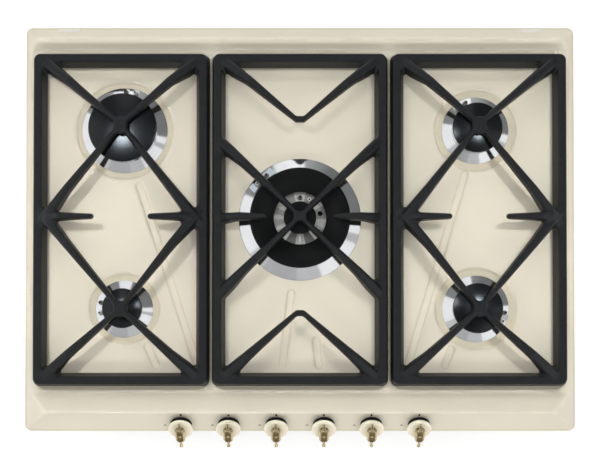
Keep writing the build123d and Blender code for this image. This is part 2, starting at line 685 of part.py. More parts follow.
def flame_spreader(name):
    """Aluminium crown on the cup's rim, with a venturi in the middle and ports along its edge."""
    x, y, cap, _, _, _, _ = BURNERS[name]
    floor = burner_floor(name) + RIM_ABOVE_FLOOR
    crown = cap - 6.0
    flange = rim_radius(name)
    locate = flange - 2.5 - 0.4
    profile = [
        (9.0, floor),
        (locate - 2, floor),
        (locate - 2, floor - 3),
        (locate, floor - 3),
        (locate, floor),
        (flange, floor),
        (flange, floor + 2.5),
        (crown, floor + 4.0),
        (crown, CAP_SEAT_Z),
        (crown - 3.5, CAP_SEAT_Z),
        (crown - 3.5, floor + 5.0),
        (11.5, floor + 3.0),
        (11.5, CAP_SEAT_Z - 6),
        (9.0, CAP_SEAT_Z - 6),
    ]
    piece = turned(profile) - port_cutters(crown, CAP_SEAT_Z, port_count(crown))
    return Pos(x, y, 0) * piece


def centre_spreader():
    """Two rings of flame ports in one casting, with open bridges between them."""
    x, y, cap, _, _, _, _ = BURNERS["centre"]
    floor = burner_floor("centre") + RIM_ABOVE_FLOOR
    crown = cap - 6.0
    flange = rim_radius("centre")
    locate = flange - 2.5 - 0.4
    inner_crown = INNER_CAP - 3.0
    profile = [
        (7.0, floor),
        (locate - 2, floor),
        (locate - 2, floor - 3),
        (locate, floor - 3),
        (locate, floor),
        (flange, floor),
        (flange, floor + 2.5),
        (crown, floor + 4.0),
        (crown, CAP_SEAT_Z),
        (crown - 3.5, CAP_SEAT_Z),
        (crown - 3.5, floor + 4.0),
        (CENTRE_HOLE + 5.0, floor + 4.0),
        (CENTRE_HOLE + 5.0, 18.0),
        (CENTRE_HOLE + 1.5, 18.0),
        (CENTRE_HOLE + 1.0, floor + 3.0),
        (inner_crown + 1.0, floor + 3.0),
        (inner_crown, floor + 6.0),
        (inner_crown, CAP_SEAT_Z + 1),
        (inner_crown - 3.0, CAP_SEAT_Z + 1),
        (inner_crown - 3.0, floor + 4.0),
        (9.0, floor + 4.0),
        (9.0, CAP_SEAT_Z - 5),
        (7.0, CAP_SEAT_Z - 5),
    ]
    cutters = port_cutters(crown, CAP_SEAT_Z, port_count(crown))
    cutters += port_cutters(inner_crown, CAP_SEAT_Z + 1, port_count(inner_crown))
    piece = turned(profile) - cutters
    fins = []
    for angle in (205, 235, 270, 305, 335):
        fin = block(inner_crown - 1.0, CENTRE_HOLE + 2.5, -1.6, 1.6, floor + 2.0, floor + 8.0)
        fins.append(Rot(0, 0, angle) * fin)
    piece = joined([piece] + fins)
    holes = []
    for radius, angle in INNER_PROBES:
        turn = math.radians(angle)
        place = Pos(radius * math.cos(turn), radius * math.sin(turn), 0)
        holes.append(place * rod(PROBE_RADIUS + 0.7, -5, 30))
    return Pos(x, y, 0) * (piece - holes)


def burner_cap(name):
    """Enamelled cap: a slight dome over a rounded edge, with a ring below that centres it."""
    x, y, cap, _, _, _, _ = BURNERS[name]
    top = CAP_SEAT_Z + CAP_EDGE
    inside = cap - 6.0 - 3.5 - 0.4
    edge = Line((cap, 0, CAP_SEAT_Z + 1.2), (cap, 0, top - 1.8))
    shoulder = ThreePointArc((cap, 0, top - 1.8), (cap - 0.55, 0, top - 0.5), (cap - 1.9, 0, top))
    dome = TangentArc((0, 0, top + CAP_DOME), (cap - 1.9, 0, top), tangent=(1, 0, 0))
    under = Polyline(
        (0, 0, top + CAP_DOME),
        (0, 0, CAP_SEAT_Z),
        (inside - 2, 0, CAP_SEAT_Z),
        (inside - 2, 0, CAP_SEAT_Z - 3),
        (inside, 0, CAP_SEAT_Z - 3),
        (inside, 0, CAP_SEAT_Z),
        (cap - 1.2, 0, CAP_SEAT_Z),
        (cap, 0, CAP_SEAT_Z + 1.2),
    )
    return Pos(x, y, 0) * revolve(make_face([edge, shoulder, dome, under]), Axis.Z)


def centre_outer_cap():
    """Ring-shaped cap, dished towards its hole."""
    x, y, cap, _, _, _, _ = BURNERS["centre"]
    inside = cap - 6.0 - 3.5 - 0.4
    profile = [
        (CENTRE_HOLE, 18.0),
        (CENTRE_HOLE + 6.0, 18.0),
        (inside - 2, CAP_SEAT_Z - 3),
        (inside, CAP_SEAT_Z - 3),
        (inside, CAP_SEAT_Z),
        (cap - 1.2, CAP_SEAT_Z),
        (cap, CAP_SEAT_Z + 1.2),
        (cap, 26.4),
        (cap - 1.0, 27.8),
        (cap - 3.0, 28.4),
        (cap - 8.0, 28.2),
        (cap - 15.0, 26.4),
        (cap - 22.0, 23.6),
        (CENTRE_HOLE + 3.0, 21.2),
        (CENTRE_HOLE, 20.2),
    ]
    return Pos(x, y, 0) * turned(profile)


def centre_inner_cap():
    x, y = BURNERS["centre"][:2]
    seat = CAP_SEAT_Z + 1
    inside = INNER_CAP - 3.0 - 3.0 - 0.4
    profile = [
        (0, seat),
        (inside - 2, seat),
        (inside - 2, seat - 3),
        (inside, seat - 3),
        (inside, seat),
        (INNER_CAP - 1, seat),
        (INNER_CAP, seat + 1),
        (INNER_CAP, seat + 3.6),
        (INNER_CAP - 1.4, seat + 4.8),
        (INNER_CAP * 0.6, seat + 5.6),
        (0, seat + 6),
    ]
    return Pos(x, y, 0) * turned(profile)


def spark_plug(x, y, tip=SPARK_TIP_Z, bottom=PROBE_BOTTOM_Z):
    """Ceramic body with a steel electrode at its top."""
    shape = [
        (0, bottom),
        (1.2, bottom),
        (PROBE_RADIUS, bottom + 4),
        (PROBE_RADIUS, tip - 5),
        (1.9, tip - 3.4),
        (0.9, tip - 3.4),
        (0.9, tip),
        (0, tip),
    ]
    return Pos(x, y, 0) * turned(shape)


def thermocouple(x, y, tip=THERMO_TIP_Z, bottom=PROBE_BOTTOM_Z):
    """Slim probe with a stepped tip."""
    shape = [
        (0, bottom + 3),
        (1.6, bottom + 3),
        (PROBE_RADIUS, bottom + 6),
        (PROBE_RADIUS, tip - 7),
        (1.7, tip - 6),
        (1.7, tip - 0.8),
        (0.9, tip),
        (0, tip),
    ]
    return Pos(x, y, 0) * turned(shape)


def inner_probe_places():
    x, y = BURNERS["centre"][:2]
    return [
        (x + radius * math.cos(math.radians(angle)), y + radius * math.sin(math.radians(angle)))
        for radius, angle in INNER_PROBES
    ]


def spark_plugs():
    plugs = [spark_plug(*probe_places(name)[1]) for name in BURNERS]
    plugs.append(spark_plug(*inner_probe_places()[1], tip=19.0, bottom=INNER_PROBE_BOTTOM_Z))
    return group(plugs)


def thermocouples():
    probes = [thermocouple(*probe_places(name)[0]) for name in BURNERS]
    probes.append(thermocouple(*inner_probe_places()[0], bottom=INNER_PROBE_BOTTOM_Z))
    return group(probes)


def injector(x, y, bottom):
    """Brass holder under the cup and the jet inside it."""
    body = rod(HOLDER_RADIUS, bottom - HOLDER_HEIGHT, bottom - 0.1)
    jet = turned([
        (0, bottom - 1),
        (INJECTOR_RADIUS, bottom - 1),
        (INJECTOR_RADIUS, bottom + 6),
        (2.0, bottom + 9),
        (0, bottom + 9),
    ])
    return Pos(x, y, 0) * (body + jet)


def injectors():
    pieces = []
    for name in SIDE_BURNERS:
        x, y = BURNERS[name][:2]
        pieces.append(injector(x, y, burner_floor(name) - CUP_DEPTH))
    pieces += [injector(x, y, burner_floor("centre") - CUP_DEPTH) for x, y in centre_injectors()]
    return group(pieces)


def burner_screws():
    screws = []
    for name in BURNERS:
        floor = burner_floor(name)
        for x, y in screw_places(name):
            top = floor + 1.6
            head = turned([(0, floor), (2.8, floor), (2.8, floor + 0.9), (1.8, top), (0, top)])
            screws.append(Pos(x, y, 0) * (head + rod(1.45, floor - 6, floor + 0.5)))
    return group(screws)


# ---------------------------------------------------------------- knobs and taps


def knob_bezels():
    """Black rings that close the slope round each stem."""
    ring = turned([
        (BEZEL_BORE, 0),
        (BEZEL_FOOT_RADIUS, 0),
        (BEZEL_FOOT_RADIUS, 2.2),
        (BEZEL_RADIUS, BEZEL_HEIGHT - 1.8),
        (BEZEL_RADIUS, BEZEL_HEIGHT - 0.5),
        (BEZEL_RADIUS - 0.5, BEZEL_HEIGHT),
        (BEZEL_BORE, BEZEL_HEIGHT),
    ])
    return group([on_slope(knob_x(number)) * ring for number in range(1, KNOB_COUNT + 1)])


def knob_skirt(x):
    """Round skirt with a softened face, and the hub that takes the stem."""
    profile = [
        (STEM_RADIUS + 0.05, HUB_BACK),
        (HUB_RADIUS, HUB_BACK),
        (HUB_RADIUS, KNOB_BACK),
        (KNOB_RADIUS - 0.8, KNOB_BACK),
        (KNOB_RADIUS, KNOB_BACK + 0.8),
        (KNOB_RADIUS, KNOB_BACK + 2.4),
        (KNOB_RADIUS - 0.9, KNOB_FRONT - 0.9),
        (KNOB_RADIUS - 3.0, KNOB_FRONT),
        (STEM_RADIUS + 0.05, KNOB_FRONT),
    ]
    return on_slope(x) * turned(profile)


def knob_handle(x):
    """Lever on a short neck: a pointer, an oval body with a sunk ring, and a tail with a ball."""
    neck = turned([(0, STEM_FRONT + 0.1), (2.95, STEM_FRONT + 0.1), (2.95, KNOB_FRONT), (5.0, KNOB_FRONT),
                   (3.6, KNOB_FRONT + 2.5), (4.4, LEVER_BACK + 1), (0, LEVER_BACK + 1)])
    body = Pos(0, 0, LEVER_BACK) * extrude(Rot(0, 0, 90) * SlotOverall(LEVER_LENGTH, LEVER_WIDTH), 4.6)
    crown = Pos(0, 0, LEVER_BACK + 4.5) * extrude(
        Rot(0, 0, 90) * SlotOverall(LEVER_LENGTH - 0.6, LEVER_WIDTH - 0.6), 1.7, taper=35)
    sunk_outer = SlotOverall(LEVER_LENGTH - 6.4, LEVER_WIDTH - 6.4)
    ring = Pos(0, 0, LEVER_FRONT - 1.4) * extrude(Rot(0, 0, 90) * sunk_outer, 3, taper=-20)
    boss = rod(2.1, LEVER_FRONT - 2, LEVER_FRONT - 0.2)
    low_width, top_width = 4.6, 1.6
    start = LEVER_LENGTH / 2 - 2
    pointer_faces = []
    for run, width, thick in ((start, low_width, 4.2), (POINTER_REACH, top_width, 2.2)):
        middle = LEVER_BACK + 2.6
        pointer_faces.append(Pos(0, run, middle) * Rot(-90, 0, 0) * Rectangle(width, thick))
    pointer = loft(pointer_faces, ruled=True)
    tail_start = -LEVER_LENGTH / 2 + 2
    tail_length = TAIL_REACH - 2.4 + tail_start
    tail = Pos(0, tail_start, LEVER_BACK + 2.6) * Rot(90, 0, 0) * rod(TAIL_RADIUS - 0.4, 0, tail_length)
    ball = Pos(0, -TAIL_REACH + 2.6, LEVER_BACK + 2.6) * Sphere(TAIL_RADIUS + 0.4)
    lever = joined([neck, body, crown, pointer, tail, ball]) - ring
    return on_slope(x) * (lever + boss)


def knob_stem(x):
    """Steel stem with a flat that keys it to the knob and to the tap's plug."""
    back_flat = block(-5, 5, STEM_FLAT, 5, STEM_BACK - 1, STEM_BACK + 9)
    front_flat = block(-5, 5, STEM_FLAT, 5, STEM_FRONT - 8, STEM_FRONT + 1)
    return on_slope(x) * (rod(STEM_RADIUS, STEM_BACK, STEM_FRONT) - [back_flat, front_flat])


def tap_rotor(x):
    """The tap's turning plug, with a blind bore that the stem slides in."""
    front = -TAP_FRONT - 2.0 - ROTOR_END_PLAY
    back = -(TAP_FRONT + TAP_LENGTH) + 2.0 + ROTOR_END_PLAY
    plug = rod(ROTOR_RADIUS, back, front)
    bore = rod(STEM_RADIUS + RUNNING, STEM_BACK - KNOB_PUSH - STEM_END_GAP, front + 1)
    port = Pos(0, 0, back + 5) * Rot(90, 0, 0) * rod(2.0, 0, 20)
    return on_slope(x) * (plug - [bore, port])


def gas_tap(x):
    """Tap body: a neck round the stem, the plug's chamber, the outlet nose and the magnet housing."""
    front = -TAP_FRONT
    back = front - TAP_LENGTH
    body = rod(TAP_RADIUS, back, front)
    neck = rod(TAP_NECK_RADIUS, front - 1, front + TAP_NECK_LENGTH)
    nose = rod(NOSE_RADIUS, back - NOSE_LENGTH, back + 1)
    middle = front - TAP_LENGTH / 2
    magnet = Pos(0, 0, middle) * Rot(0, 90, 0) * rod(MAGNET_RADIUS, ROTOR_RADIUS + 1.5, MAGNET_REACH)
    saddle_half = 9.0
    saddle = block(-saddle_half, saddle_half, 0, MANIFOLD_SIDE, middle - 6, middle + 6)
    solid = joined([body, neck, nose, magnet, saddle])
    rail = Pos(0, MANIFOLD_SIDE, middle) * Rot(0, 90, 0) * rod(MANIFOLD_RADIUS + 0.15, -40, 40)
    chamber = rod(ROTOR_RADIUS + RUNNING, back + 2.0, front - 2.0)
    stem_hole = rod(STEM_RADIUS + 0.3, front - 3, front + TAP_NECK_LENGTH + 1)
    outlet = rod(2.5, back - NOSE_LENGTH - 1, back + 3)
    return on_slope(x) * (solid - [rail, chamber, stem_hole, outlet])


def gas_taps():
    return group([gas_tap(knob_x(number)) for number in range(1, KNOB_COUNT + 1)])


def gas_rail():
    """The rail along the taps and its leg to the inlet."""
    y, z = below_slope(MANIFOLD_ALONG, MANIFOLD_SIDE)
    points = [
        (knob_x(1) - 22, y, z),
        (knob_x(KNOB_COUNT) + 46, y, z),
        (GAS_X, y, GAS_Z),
        (GAS_X, NOTCH_WALL_Y + 0.4, GAS_Z),
    ]
    return bent_pipe(points, [16.0, 20.0], MANIFOLD_RADIUS)


def gas_pipes():
    """One pipe from each tap's nose to its injector."""
    start_y, start_z = below_slope(TAP_FRONT + TAP_LENGTH + NOSE_LENGTH + 0.2)
    drop_y = start_y + (start_z - PIPE_Z)
    reach = HOLDER_RADIUS + 0.3
    rear, front, middle = BURNER_Y + BURNER_SPREAD, BURNER_Y - BURNER_SPREAD, BURNER_Y
    inner_end = (centre_injectors()[0][0], middle - reach)
    outer_end = (centre_injectors()[1][0], middle - reach)
    routes = []
    for side, near, far in ((-1, 1, 2), (1, 6, 5)):
        near_x, far_x = knob_x(near), knob_x(far)
        target = side * (BURNER_X - reach)
        routes.append([(near_x, front), (target, front)])
        routes.append([(far_x, rear), (target, rear)])
    routes.append([(knob_x(3), middle - 70), (inner_end[0], middle - 40), inner_end])
    routes.append([(knob_x(4), middle - 70), (outer_end[0], middle - 45), outer_end])
    starts = [knob_x(1), knob_x(2), knob_x(6), knob_x(5), knob_x(3), knob_x(4)]
    pipes = []
    for start_x, route in zip(starts, routes):
        points = [(start_x, start_y, start_z), (start_x, drop_y, PIPE_Z)]
        points += [(x, y, PIPE_Z) for x, y in route]
        radii = [8.0] + [16.0] * (len(route) - 1)
        pipes.append(bent_pipe(points, radii, PIPE_RADIUS))
    return group(pipes)


def gas_inlet_elbow():
    """Elbow in the stepped corner, with its pipe thread pointing down."""
    y = NOTCH_WALL_Y + ELBOW_OFFSET
    barrel_low = GAS_Z - 9.0
    barrel = Pos(GAS_X, y, 0) * rod(ELBOW_RADIUS, barrel_low, GAS_Z + 11)
    thread = Pos(GAS_X, y, 0) * rod(GAS_THREAD_RADIUS, barrel_low - GAS_THREAD_LENGTH, barrel_low + 1)
    stub = along_y(8.5, GAS_X, NOTCH_WALL_Y + 0.5, y, GAS_Z)
    bores = [
        Pos(GAS_X, y, 0) * rod(7.0, barrel_low - GAS_THREAD_LENGTH - 1, GAS_Z),
        along_y(5.0, GAS_X, NOTCH_WALL_Y, y, GAS_Z),
    ]
    return joined([barrel, thread, stub]) - bores


# ---------------------------------------------------------------- box, electrics and fixings


def under_box():
    """Sheet-steel box below the top, open upwards, with a stepped rear corner."""
    outline = Rectangle(2 * BOX_X, 2 * BOX_Y)
    outline -= Pos(BOX_X, BOX_Y) * Rectangle(2 * NOTCH_X, 2 * NOTCH_Y)
    outline = fillet(outline.vertices(), BOX_CORNER)
    room = offset(outline, -BOX_SHEET, kind=Kind.INTERSECTION)
    flange = offset(outline, BOX_FLANGE, kind=Kind.INTERSECTION) & Pos(0, 20) * Rectangle(900, 2 * BOX_Y + 20)
    box = Pos(0, 0, BOX_BOTTOM_Z) * extrude(outline, BOX_TOP_Z - BOX_BOTTOM_Z)
    box += Pos(0, 0, BOX_TOP_Z - BOX_SHEET) * extrude(flange, BOX_SHEET)
    box -= Pos(0, 0, BOX_BOTTOM_Z + BOX_SHEET) * extrude(room, 100)
    cuts = []
    for number in range(1, KNOB_COUNT + 1):
        x = knob_x(number)
        half = STEM_NOTCH_WIDTH / 2
        cuts.append(block(x - half, x + half, -BOX_Y - 12, -BOX_Y + 4, STEM_NOTCH_Z, 6))
    cuts.append(along_y(MANIFOLD_RADIUS + 0.3, GAS_X, NOTCH_WALL_Y - 4, NOTCH_WALL_Y + 4, GAS_Z))
    gland_y = BOX_Y - GLAND_INSET
    cuts.append(along_x(GLAND_RADIUS + 0.2, NOTCH_WALL_X - 4, NOTCH_WALL_X + 4, gland_y, GLAND_Z))
    for x, y, side in clamp_places():
        cuts.append(along_y(2.1, x, y - 3, y + 3, clamp_screw_z()))
    for index in range(9):
        x = -160 + index * 40
        cuts.append(Pos(x, 60, BOX_BOTTOM_Z) * extrude(SlotOverall(24, 4), 2))
    return box - cuts


def clamp_screw_z():
    return (CLAMP_TOP_Z + CLAMP_FOOT_Z) / 2


def clamp_places():
    """Two clamps on the front wall and two on the rear wall, clear of the stepped corner."""
    rows = ((-1, CLAMP_FRONT_X), (1, CLAMP_REAR_X))
    return [(turn * x, side * BOX_Y, side) for side, x in rows for turn in (-1, 1)]


def hold_down_clamps():
    """Brackets that hook under the worktop."""
    clamps = []
    for x, y, side in clamp_places():
        low, high = sorted((y, y + side * CLAMP_SHEET))
        plate = block(x - CLAMP_WIDTH / 2, x + CLAMP_WIDTH / 2, low, high, CLAMP_FOOT_Z, CLAMP_TOP_Z)
        low, high = sorted((y, y + side * CLAMP_REACH))
        foot = block(x - CLAMP_WIDTH / 2, x + CLAMP_WIDTH / 2, low, high,
                     CLAMP_FOOT_Z - CLAMP_SHEET, CLAMP_FOOT_Z)
        hole = along_y(2.1, x, y - 8, y + 8, clamp_screw_z())
        clamps.append((plate + foot) - hole)
    return group(clamps)


def clamp_screws():
    screws = []
    for x, y, side in clamp_places():
        shank = rod(2.0, -6, CLAMP_SHEET + 0.5)
        head = rod(4.0, CLAMP_SHEET + 0.05, CLAMP_SHEET + 2.6)
        screw = Rot(-90 * side, 0, 0) * (shank + head)
        screws.append(Pos(x, y, clamp_screw_z()) * screw)
    return group(screws)


def cable_gland():
    y = BOX_Y - GLAND_INSET
    x = NOTCH_WALL_X
    sleeve = along_x(GLAND_RADIUS, x - 7, x + 14, y, GLAND_Z)
    outer = along_x(GLAND_NUT_RADIUS, x + 0.1, x + 5, y, GLAND_Z)
    inner = along_x(GLAND_NUT_RADIUS, x - 5, x - BOX_SHEET - 0.1, y, GLAND_Z)
    return joined([sleeve, outer, inner]) - along_x(GLAND_BORE, x - 9, x + 16, y, GLAND_Z)


def terminal_block():
    """Three-way screw block beside the gland."""
    low = BOX_BOTTOM_Z + BOX_SHEET
    x_low, y_low = NOTCH_WALL_X - 62, BOX_Y - 38
    base = block(x_low, x_low + 36, y_low, y_low + 22, low, low + 5)
    pieces = [base]
    for index in range(3):
        start = x_low + 3 + index * 10.5
        tower = block(start, start + 8.5, y_low + 2, y_low + 20, low + 4, low + 17)
        pieces.append(tower - (Pos(start + 4.25, y_low + 11, 0) * rod(2.0, low + 10, low + 20)))
    return joined(pieces)


def spark_generator():
    """Ignition transformer with its six outlet posts."""
    low = BOX_BOTTOM_Z + BOX_SHEET
    x_low, y_low = -238.0, BOX_Y - 44
    case = block(x_low, x_low + 66, y_low, y_low + 34, low, low + 24)
    case = fillet(case.edges().filter_by(Axis.Z), 3)
    pieces = [case, block(x_low - 9, x_low + 75, y_low + 11, y_low + 23, low, low + 2)]
    for index in range(KNOB_COUNT):
        pieces.append(Pos(x_low + 8 + index * 10, y_low + 17, 0) * rod(3.0, low + 23, low + 30))
    return joined(pieces)


# ---------------------------------------------------------------- write the parts


def all_parts():
    parts = {
        "top_plate": top_plate(),
        "slot_caps": slot_caps(),
        "worktop_seal": worktop_seal(),
        "under_box": under_box(),
        "hold_down_clamps": hold_down_clamps(),
        "screws": group([burner_screws(), clamp_screws()]),
        "gas_rail": gas_rail(),
        "gas_inlet_elbow": gas_inlet_elbow(),
        "gas_taps": gas_taps(),
        "gas_pipes": gas_pipes(),
        "injectors": injectors(),
        "burner_cups": burner_cups(),
        "burner_collars": burner_collars(),
        "spark_plugs": spark_plugs(),
        "thermocouples": thermocouples(),
        "spark_generator": spark_generator(),
        "terminal_block": terminal_block(),
        "cable_gland": cable_gland(),
        "knob_bezels": knob_bezels(),
        "pan_support_left": side_support(-1),
        "pan_support_middle": middle_support(),
        "pan_support_right": side_support(1),
        "support_feet_left": support_feet(-SUPPORT_PITCH),
        "support_feet_middle": support_feet(0.0),
        "support_feet_right": support_feet(SUPPORT_PITCH),
        "flame_spreader_centre": centre_spreader(),
        "burner_cap_centre_outer": centre_outer_cap(),
        "burner_cap_centre_inner": centre_inner_cap(),
    }
    for name in SIDE_BURNERS:
        parts[f"flame_spreader_{name}"] = flame_spreader(name)
        parts[f"burner_cap_{name}"] = burner_cap(name)
    for number in range(1, KNOB_COUNT + 1):
        x = knob_x(number)
        parts[f"knob_skirt_{number}"] = knob_skirt(x)
        parts[f"knob_handle_{number}"] = knob_handle(x)
        parts[f"knob_stem_{number}"] = knob_stem(x)
        parts[f"tap_rotor_{number}"] = tap_rotor(x)
    return parts


def main():
    os.makedirs("parts", exist_ok=True)
    for name, shape in all_parts().items():
        export_step(shape, f"parts/{name}.step")


if __name__ == "__main__":
    main()
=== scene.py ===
"""Looks of a built-in gas cooktop: enamelled pressed top, cast-iron pan supports, polished burner collars."""
import json
import math

import bpy
import numpy as np
from bpy.props import FloatProperty, PointerProperty, StringProperty
from mathutils import Matrix, Vector

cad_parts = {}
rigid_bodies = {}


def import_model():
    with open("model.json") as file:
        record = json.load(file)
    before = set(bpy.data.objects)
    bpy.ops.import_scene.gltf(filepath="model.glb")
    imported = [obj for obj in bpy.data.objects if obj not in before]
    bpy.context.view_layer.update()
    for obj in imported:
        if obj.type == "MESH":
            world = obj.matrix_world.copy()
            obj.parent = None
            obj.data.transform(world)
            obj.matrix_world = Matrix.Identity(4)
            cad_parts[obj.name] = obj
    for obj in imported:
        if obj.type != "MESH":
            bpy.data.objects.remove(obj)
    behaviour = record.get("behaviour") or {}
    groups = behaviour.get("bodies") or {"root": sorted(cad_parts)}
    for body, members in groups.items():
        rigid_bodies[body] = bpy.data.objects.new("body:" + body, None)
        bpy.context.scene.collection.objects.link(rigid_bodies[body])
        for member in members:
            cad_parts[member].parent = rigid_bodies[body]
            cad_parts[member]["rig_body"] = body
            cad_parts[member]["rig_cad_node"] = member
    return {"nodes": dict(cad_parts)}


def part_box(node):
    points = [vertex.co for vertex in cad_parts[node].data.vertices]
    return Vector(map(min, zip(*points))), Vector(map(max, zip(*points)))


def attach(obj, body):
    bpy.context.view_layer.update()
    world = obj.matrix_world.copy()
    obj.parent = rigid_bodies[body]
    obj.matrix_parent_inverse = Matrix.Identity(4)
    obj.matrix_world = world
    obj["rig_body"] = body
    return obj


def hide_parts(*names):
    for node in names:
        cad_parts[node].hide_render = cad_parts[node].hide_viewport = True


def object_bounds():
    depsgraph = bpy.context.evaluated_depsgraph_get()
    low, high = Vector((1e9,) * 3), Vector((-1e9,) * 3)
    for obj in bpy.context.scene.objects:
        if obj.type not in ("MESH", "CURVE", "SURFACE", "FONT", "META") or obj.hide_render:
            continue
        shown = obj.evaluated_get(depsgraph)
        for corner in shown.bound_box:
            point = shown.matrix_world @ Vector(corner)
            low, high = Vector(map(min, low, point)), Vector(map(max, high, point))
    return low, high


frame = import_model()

bl_info = {
    "name": "Gas cooktop finish",
    "version": (1, 0, 0),
    "blender": (4, 5, 0),
    "location": "View3D > Sidebar > Cooktop",
    "description": "Finishes a packed gas cooktop model with enamel, cast iron and polished steel",
    "category": "Object",
}

MM = 0.001
CAD_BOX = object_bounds()
SIDES = ("left", "middle", "right")
SIDE_BURNERS = ("rear_left", "front_left", "rear_right", "front_right")
KNOBS = range(1, 7)
KNOB_PITCH = 61.5


def middle(node):
    """X and Y of a node's middle in millimetres."""
    low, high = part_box(node)
    return (low.x + high.x) / 2 / MM, (low.y + high.y) / 2 / MM


# Radii of a burner's cap and collar and the height that its collar stands at, in mm. Its flame sensor and its
# spark plug stand at two angles, counted anticlockwise from +X, and at a radius in mm.
BURNER_LAYOUT = {
    "rear_left": {"cap": 44.4, "collar": 56.0, "floor": 2.5, "probes": (88.0, 73.0, 50.0)},
    "front_left": {"cap": 25.8, "collar": 37.5, "floor": 2.5, "probes": (165.0, 190.0, 31.0)},
    "centre": {"cap": 65.0, "collar": 80.0, "floor": 4.0, "probes": (127.5, 140.5, 72.0)},
    "rear_right": {"cap": 32.4, "collar": 43.8, "floor": 2.5, "probes": (111.0, 134.0, 37.5)},
    "front_right": {"cap": 32.4, "collar": 43.8, "floor": 2.5, "probes": (352.0, 334.0, 37.5)},
}
for _name, _burner in BURNER_LAYOUT.items():
    _burner["at"] = middle(f"flame_spreader_{_name}")


def probe_spots(burner):
    """X and Y of a burner's flame sensor and of its spark plug, in millimetres."""
    x, y = burner["at"]
    *angles, radius = burner["probes"]
    turns = [math.radians(angle) for angle in angles]
    return [(x + radius * math.cos(turn), y + radius * math.sin(turn)) for turn in turns]


# ---------------------------------------------------------------- sizes and colours that a user would change


def length(name, description, millimetres):
    return FloatProperty(name=name, description=description, default=millimetres * MM, unit="LENGTH")


def colour(name, description, code):
    return StringProperty(name=name, description=description, default=code)


class PressedTopSizes(bpy.types.PropertyGroup):
    edge_radius: length("Edge radius", "Softness of the pressing's folds", 3.0)
    mesh_step: length("Mesh step", "Spacing of the first grid, before it is thinned", 1.4)
    sheet: length("Sheet", "Thickness of the enamelled sheet", 1.1)


class CastSupportSizes(bpy.types.PropertyGroup):
    grain: length("Casting grain", "Size of the bumps that sand casting leaves under the enamel", 1.1)
    voxel: length("Remesh size", "Step of the remesh that softens the cast edges", 0.95)
    fillet: length("Fillet", "How far the casting is swollen to fill its inner corners", 2.0)
    softness: FloatProperty(name="Softness", description="How far the cast edges are rounded", default=0.5)


class BurnerSizes(bpy.types.PropertyGroup):
    cap_edge_radius: length("Cap edge radius", "Rounding of a cap's upper edge", 1.6)
    collar_lip: length("Collar lip", "Height of the flat rim at a collar's foot", 1.0)
    collar_slope: FloatProperty(name="Collar slope", description="Rise of the polished cone",
                                default=math.radians(16), subtype="ANGLE")


class KnobSizes(bpy.types.PropertyGroup):
    skirt_radius: length("Skirt radius", "Radius of a knob's round skirt", 16.0)


class FinishColours(bpy.types.PropertyGroup):
    cream: colour("Cream enamel", "Vitreous enamel of the top", "E4DCC8")
    cream_knob: colour("Cream skirts", "Lacquer of the knob skirts", "F7EED6")
    iron: colour("Cast iron", "Matt enamel of the pan supports", "1B1D1F")
    cap: colour("Cap enamel", "Gloss enamel of the burner caps", "0B0D0F")
    ring: colour("Ring enamel", "Satin enamel of the middle burner's ring", "0B0C0D")
    steel: colour("Polished steel", "Burner collars", "EDEFF1")
    brass: colour("Antique brass", "Knob levers", "C4B38C")


class StageSizes(bpy.types.PropertyGroup):
    camera_height: length("Camera height", "Height of the camera over the worktop", 1500)
    camera_y: length("Camera place", "Where the camera stands, front to rear", -178.5)
    camera_tilt: FloatProperty(name="Camera tilt", description="Lean of the view towards the rear",
                               default=math.radians(1.05), subtype="ANGLE")
    focal: FloatProperty(name="Focal length", description="Lens in millimetres", default=68.7)
    upward_shift: FloatProperty(name="Upward shift", description="Lens shift", default=0.1765)


# ---------------------------------------------------------------- small helpers


def linear(code):
    """An sRGB hex value as a linear colour."""
    channels = [int(code[i:i + 2], 16) / 255 for i in (0, 2, 4)]
    return [c / 12.92 if c <= 0.04045 else ((c + 0.055) / 1.055) ** 2.4 for c in channels] + [1.0]


def shade(code, factor):
    """A lighter or darker version of a hex colour."""
    return [min(1.0, c * factor) for c in linear(code)[:3]] + [1.0]


def grey(level):
    """A linear grey."""
    return [level] * 3 + [1]


def add_node(tree, kind, inputs=None, links=None, **settings):
    """Adds one shader node with its settings, its socket values and its incoming links."""
    made = tree.nodes.new(kind)
    for key, value in settings.items():
        setattr(made, key, value)
    for socket, value in (inputs or {}).items():
        made.inputs[socket].default_value = value
    for socket, source in (links or {}).items():
        tree.links.new(source, made.inputs[socket])
    return made


def new_material(name, **shader_values):
    """A material with one Principled shader, returned with its tree and shader."""
    material = bpy.data.materials.new(name)
    material.use_nodes = True
    tree = material.node_tree
    shader = tree.nodes["Principled BSDF"]
    for socket, value in shader_values.items():
        shader.inputs[socket.replace("_", " ")].default_value = value
    return material, tree, shader


def set_ramp(ramp_node, stops):
    """Gives a colour ramp its stops, as (position, colour)."""
    ramp = ramp_node.color_ramp
    while len(ramp.elements) < len(stops):
        ramp.elements.new(0.5)
    for element, (position, value) in zip(ramp.elements, stops):
        element.position = position
        element.color = value


def select_only(*objects):
    if bpy.context.mode != "OBJECT":
        bpy.ops.object.mode_set(mode="OBJECT")
    bpy.ops.object.select_all(action="DESELECT")
    for item in objects:
        item.select_set(True)
    if objects:
        bpy.context.view_layer.objects.active = objects[0]


def settle(piece, name, placement=None):
    """Names a piece and moves its place into its mesh."""
    piece.name = name
    piece.data.name = name
    if placement is not None:
        piece.matrix_world = placement @ piece.matrix_world
    select_only(piece)
    bpy.ops.object.transform_apply(location=True, rotation=True, scale=True)


def finish_piece(piece, body, material, node, angle=35):
    """Shades a piece, gives it its material, ties it to its body and hides the node it stands for."""
    select_only(piece)
    bpy.ops.object.shade_smooth_by_angle(angle=math.radians(angle))
    piece.data.materials.clear()
    piece.data.materials.append(material)
    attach(piece, body)
    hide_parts(node)


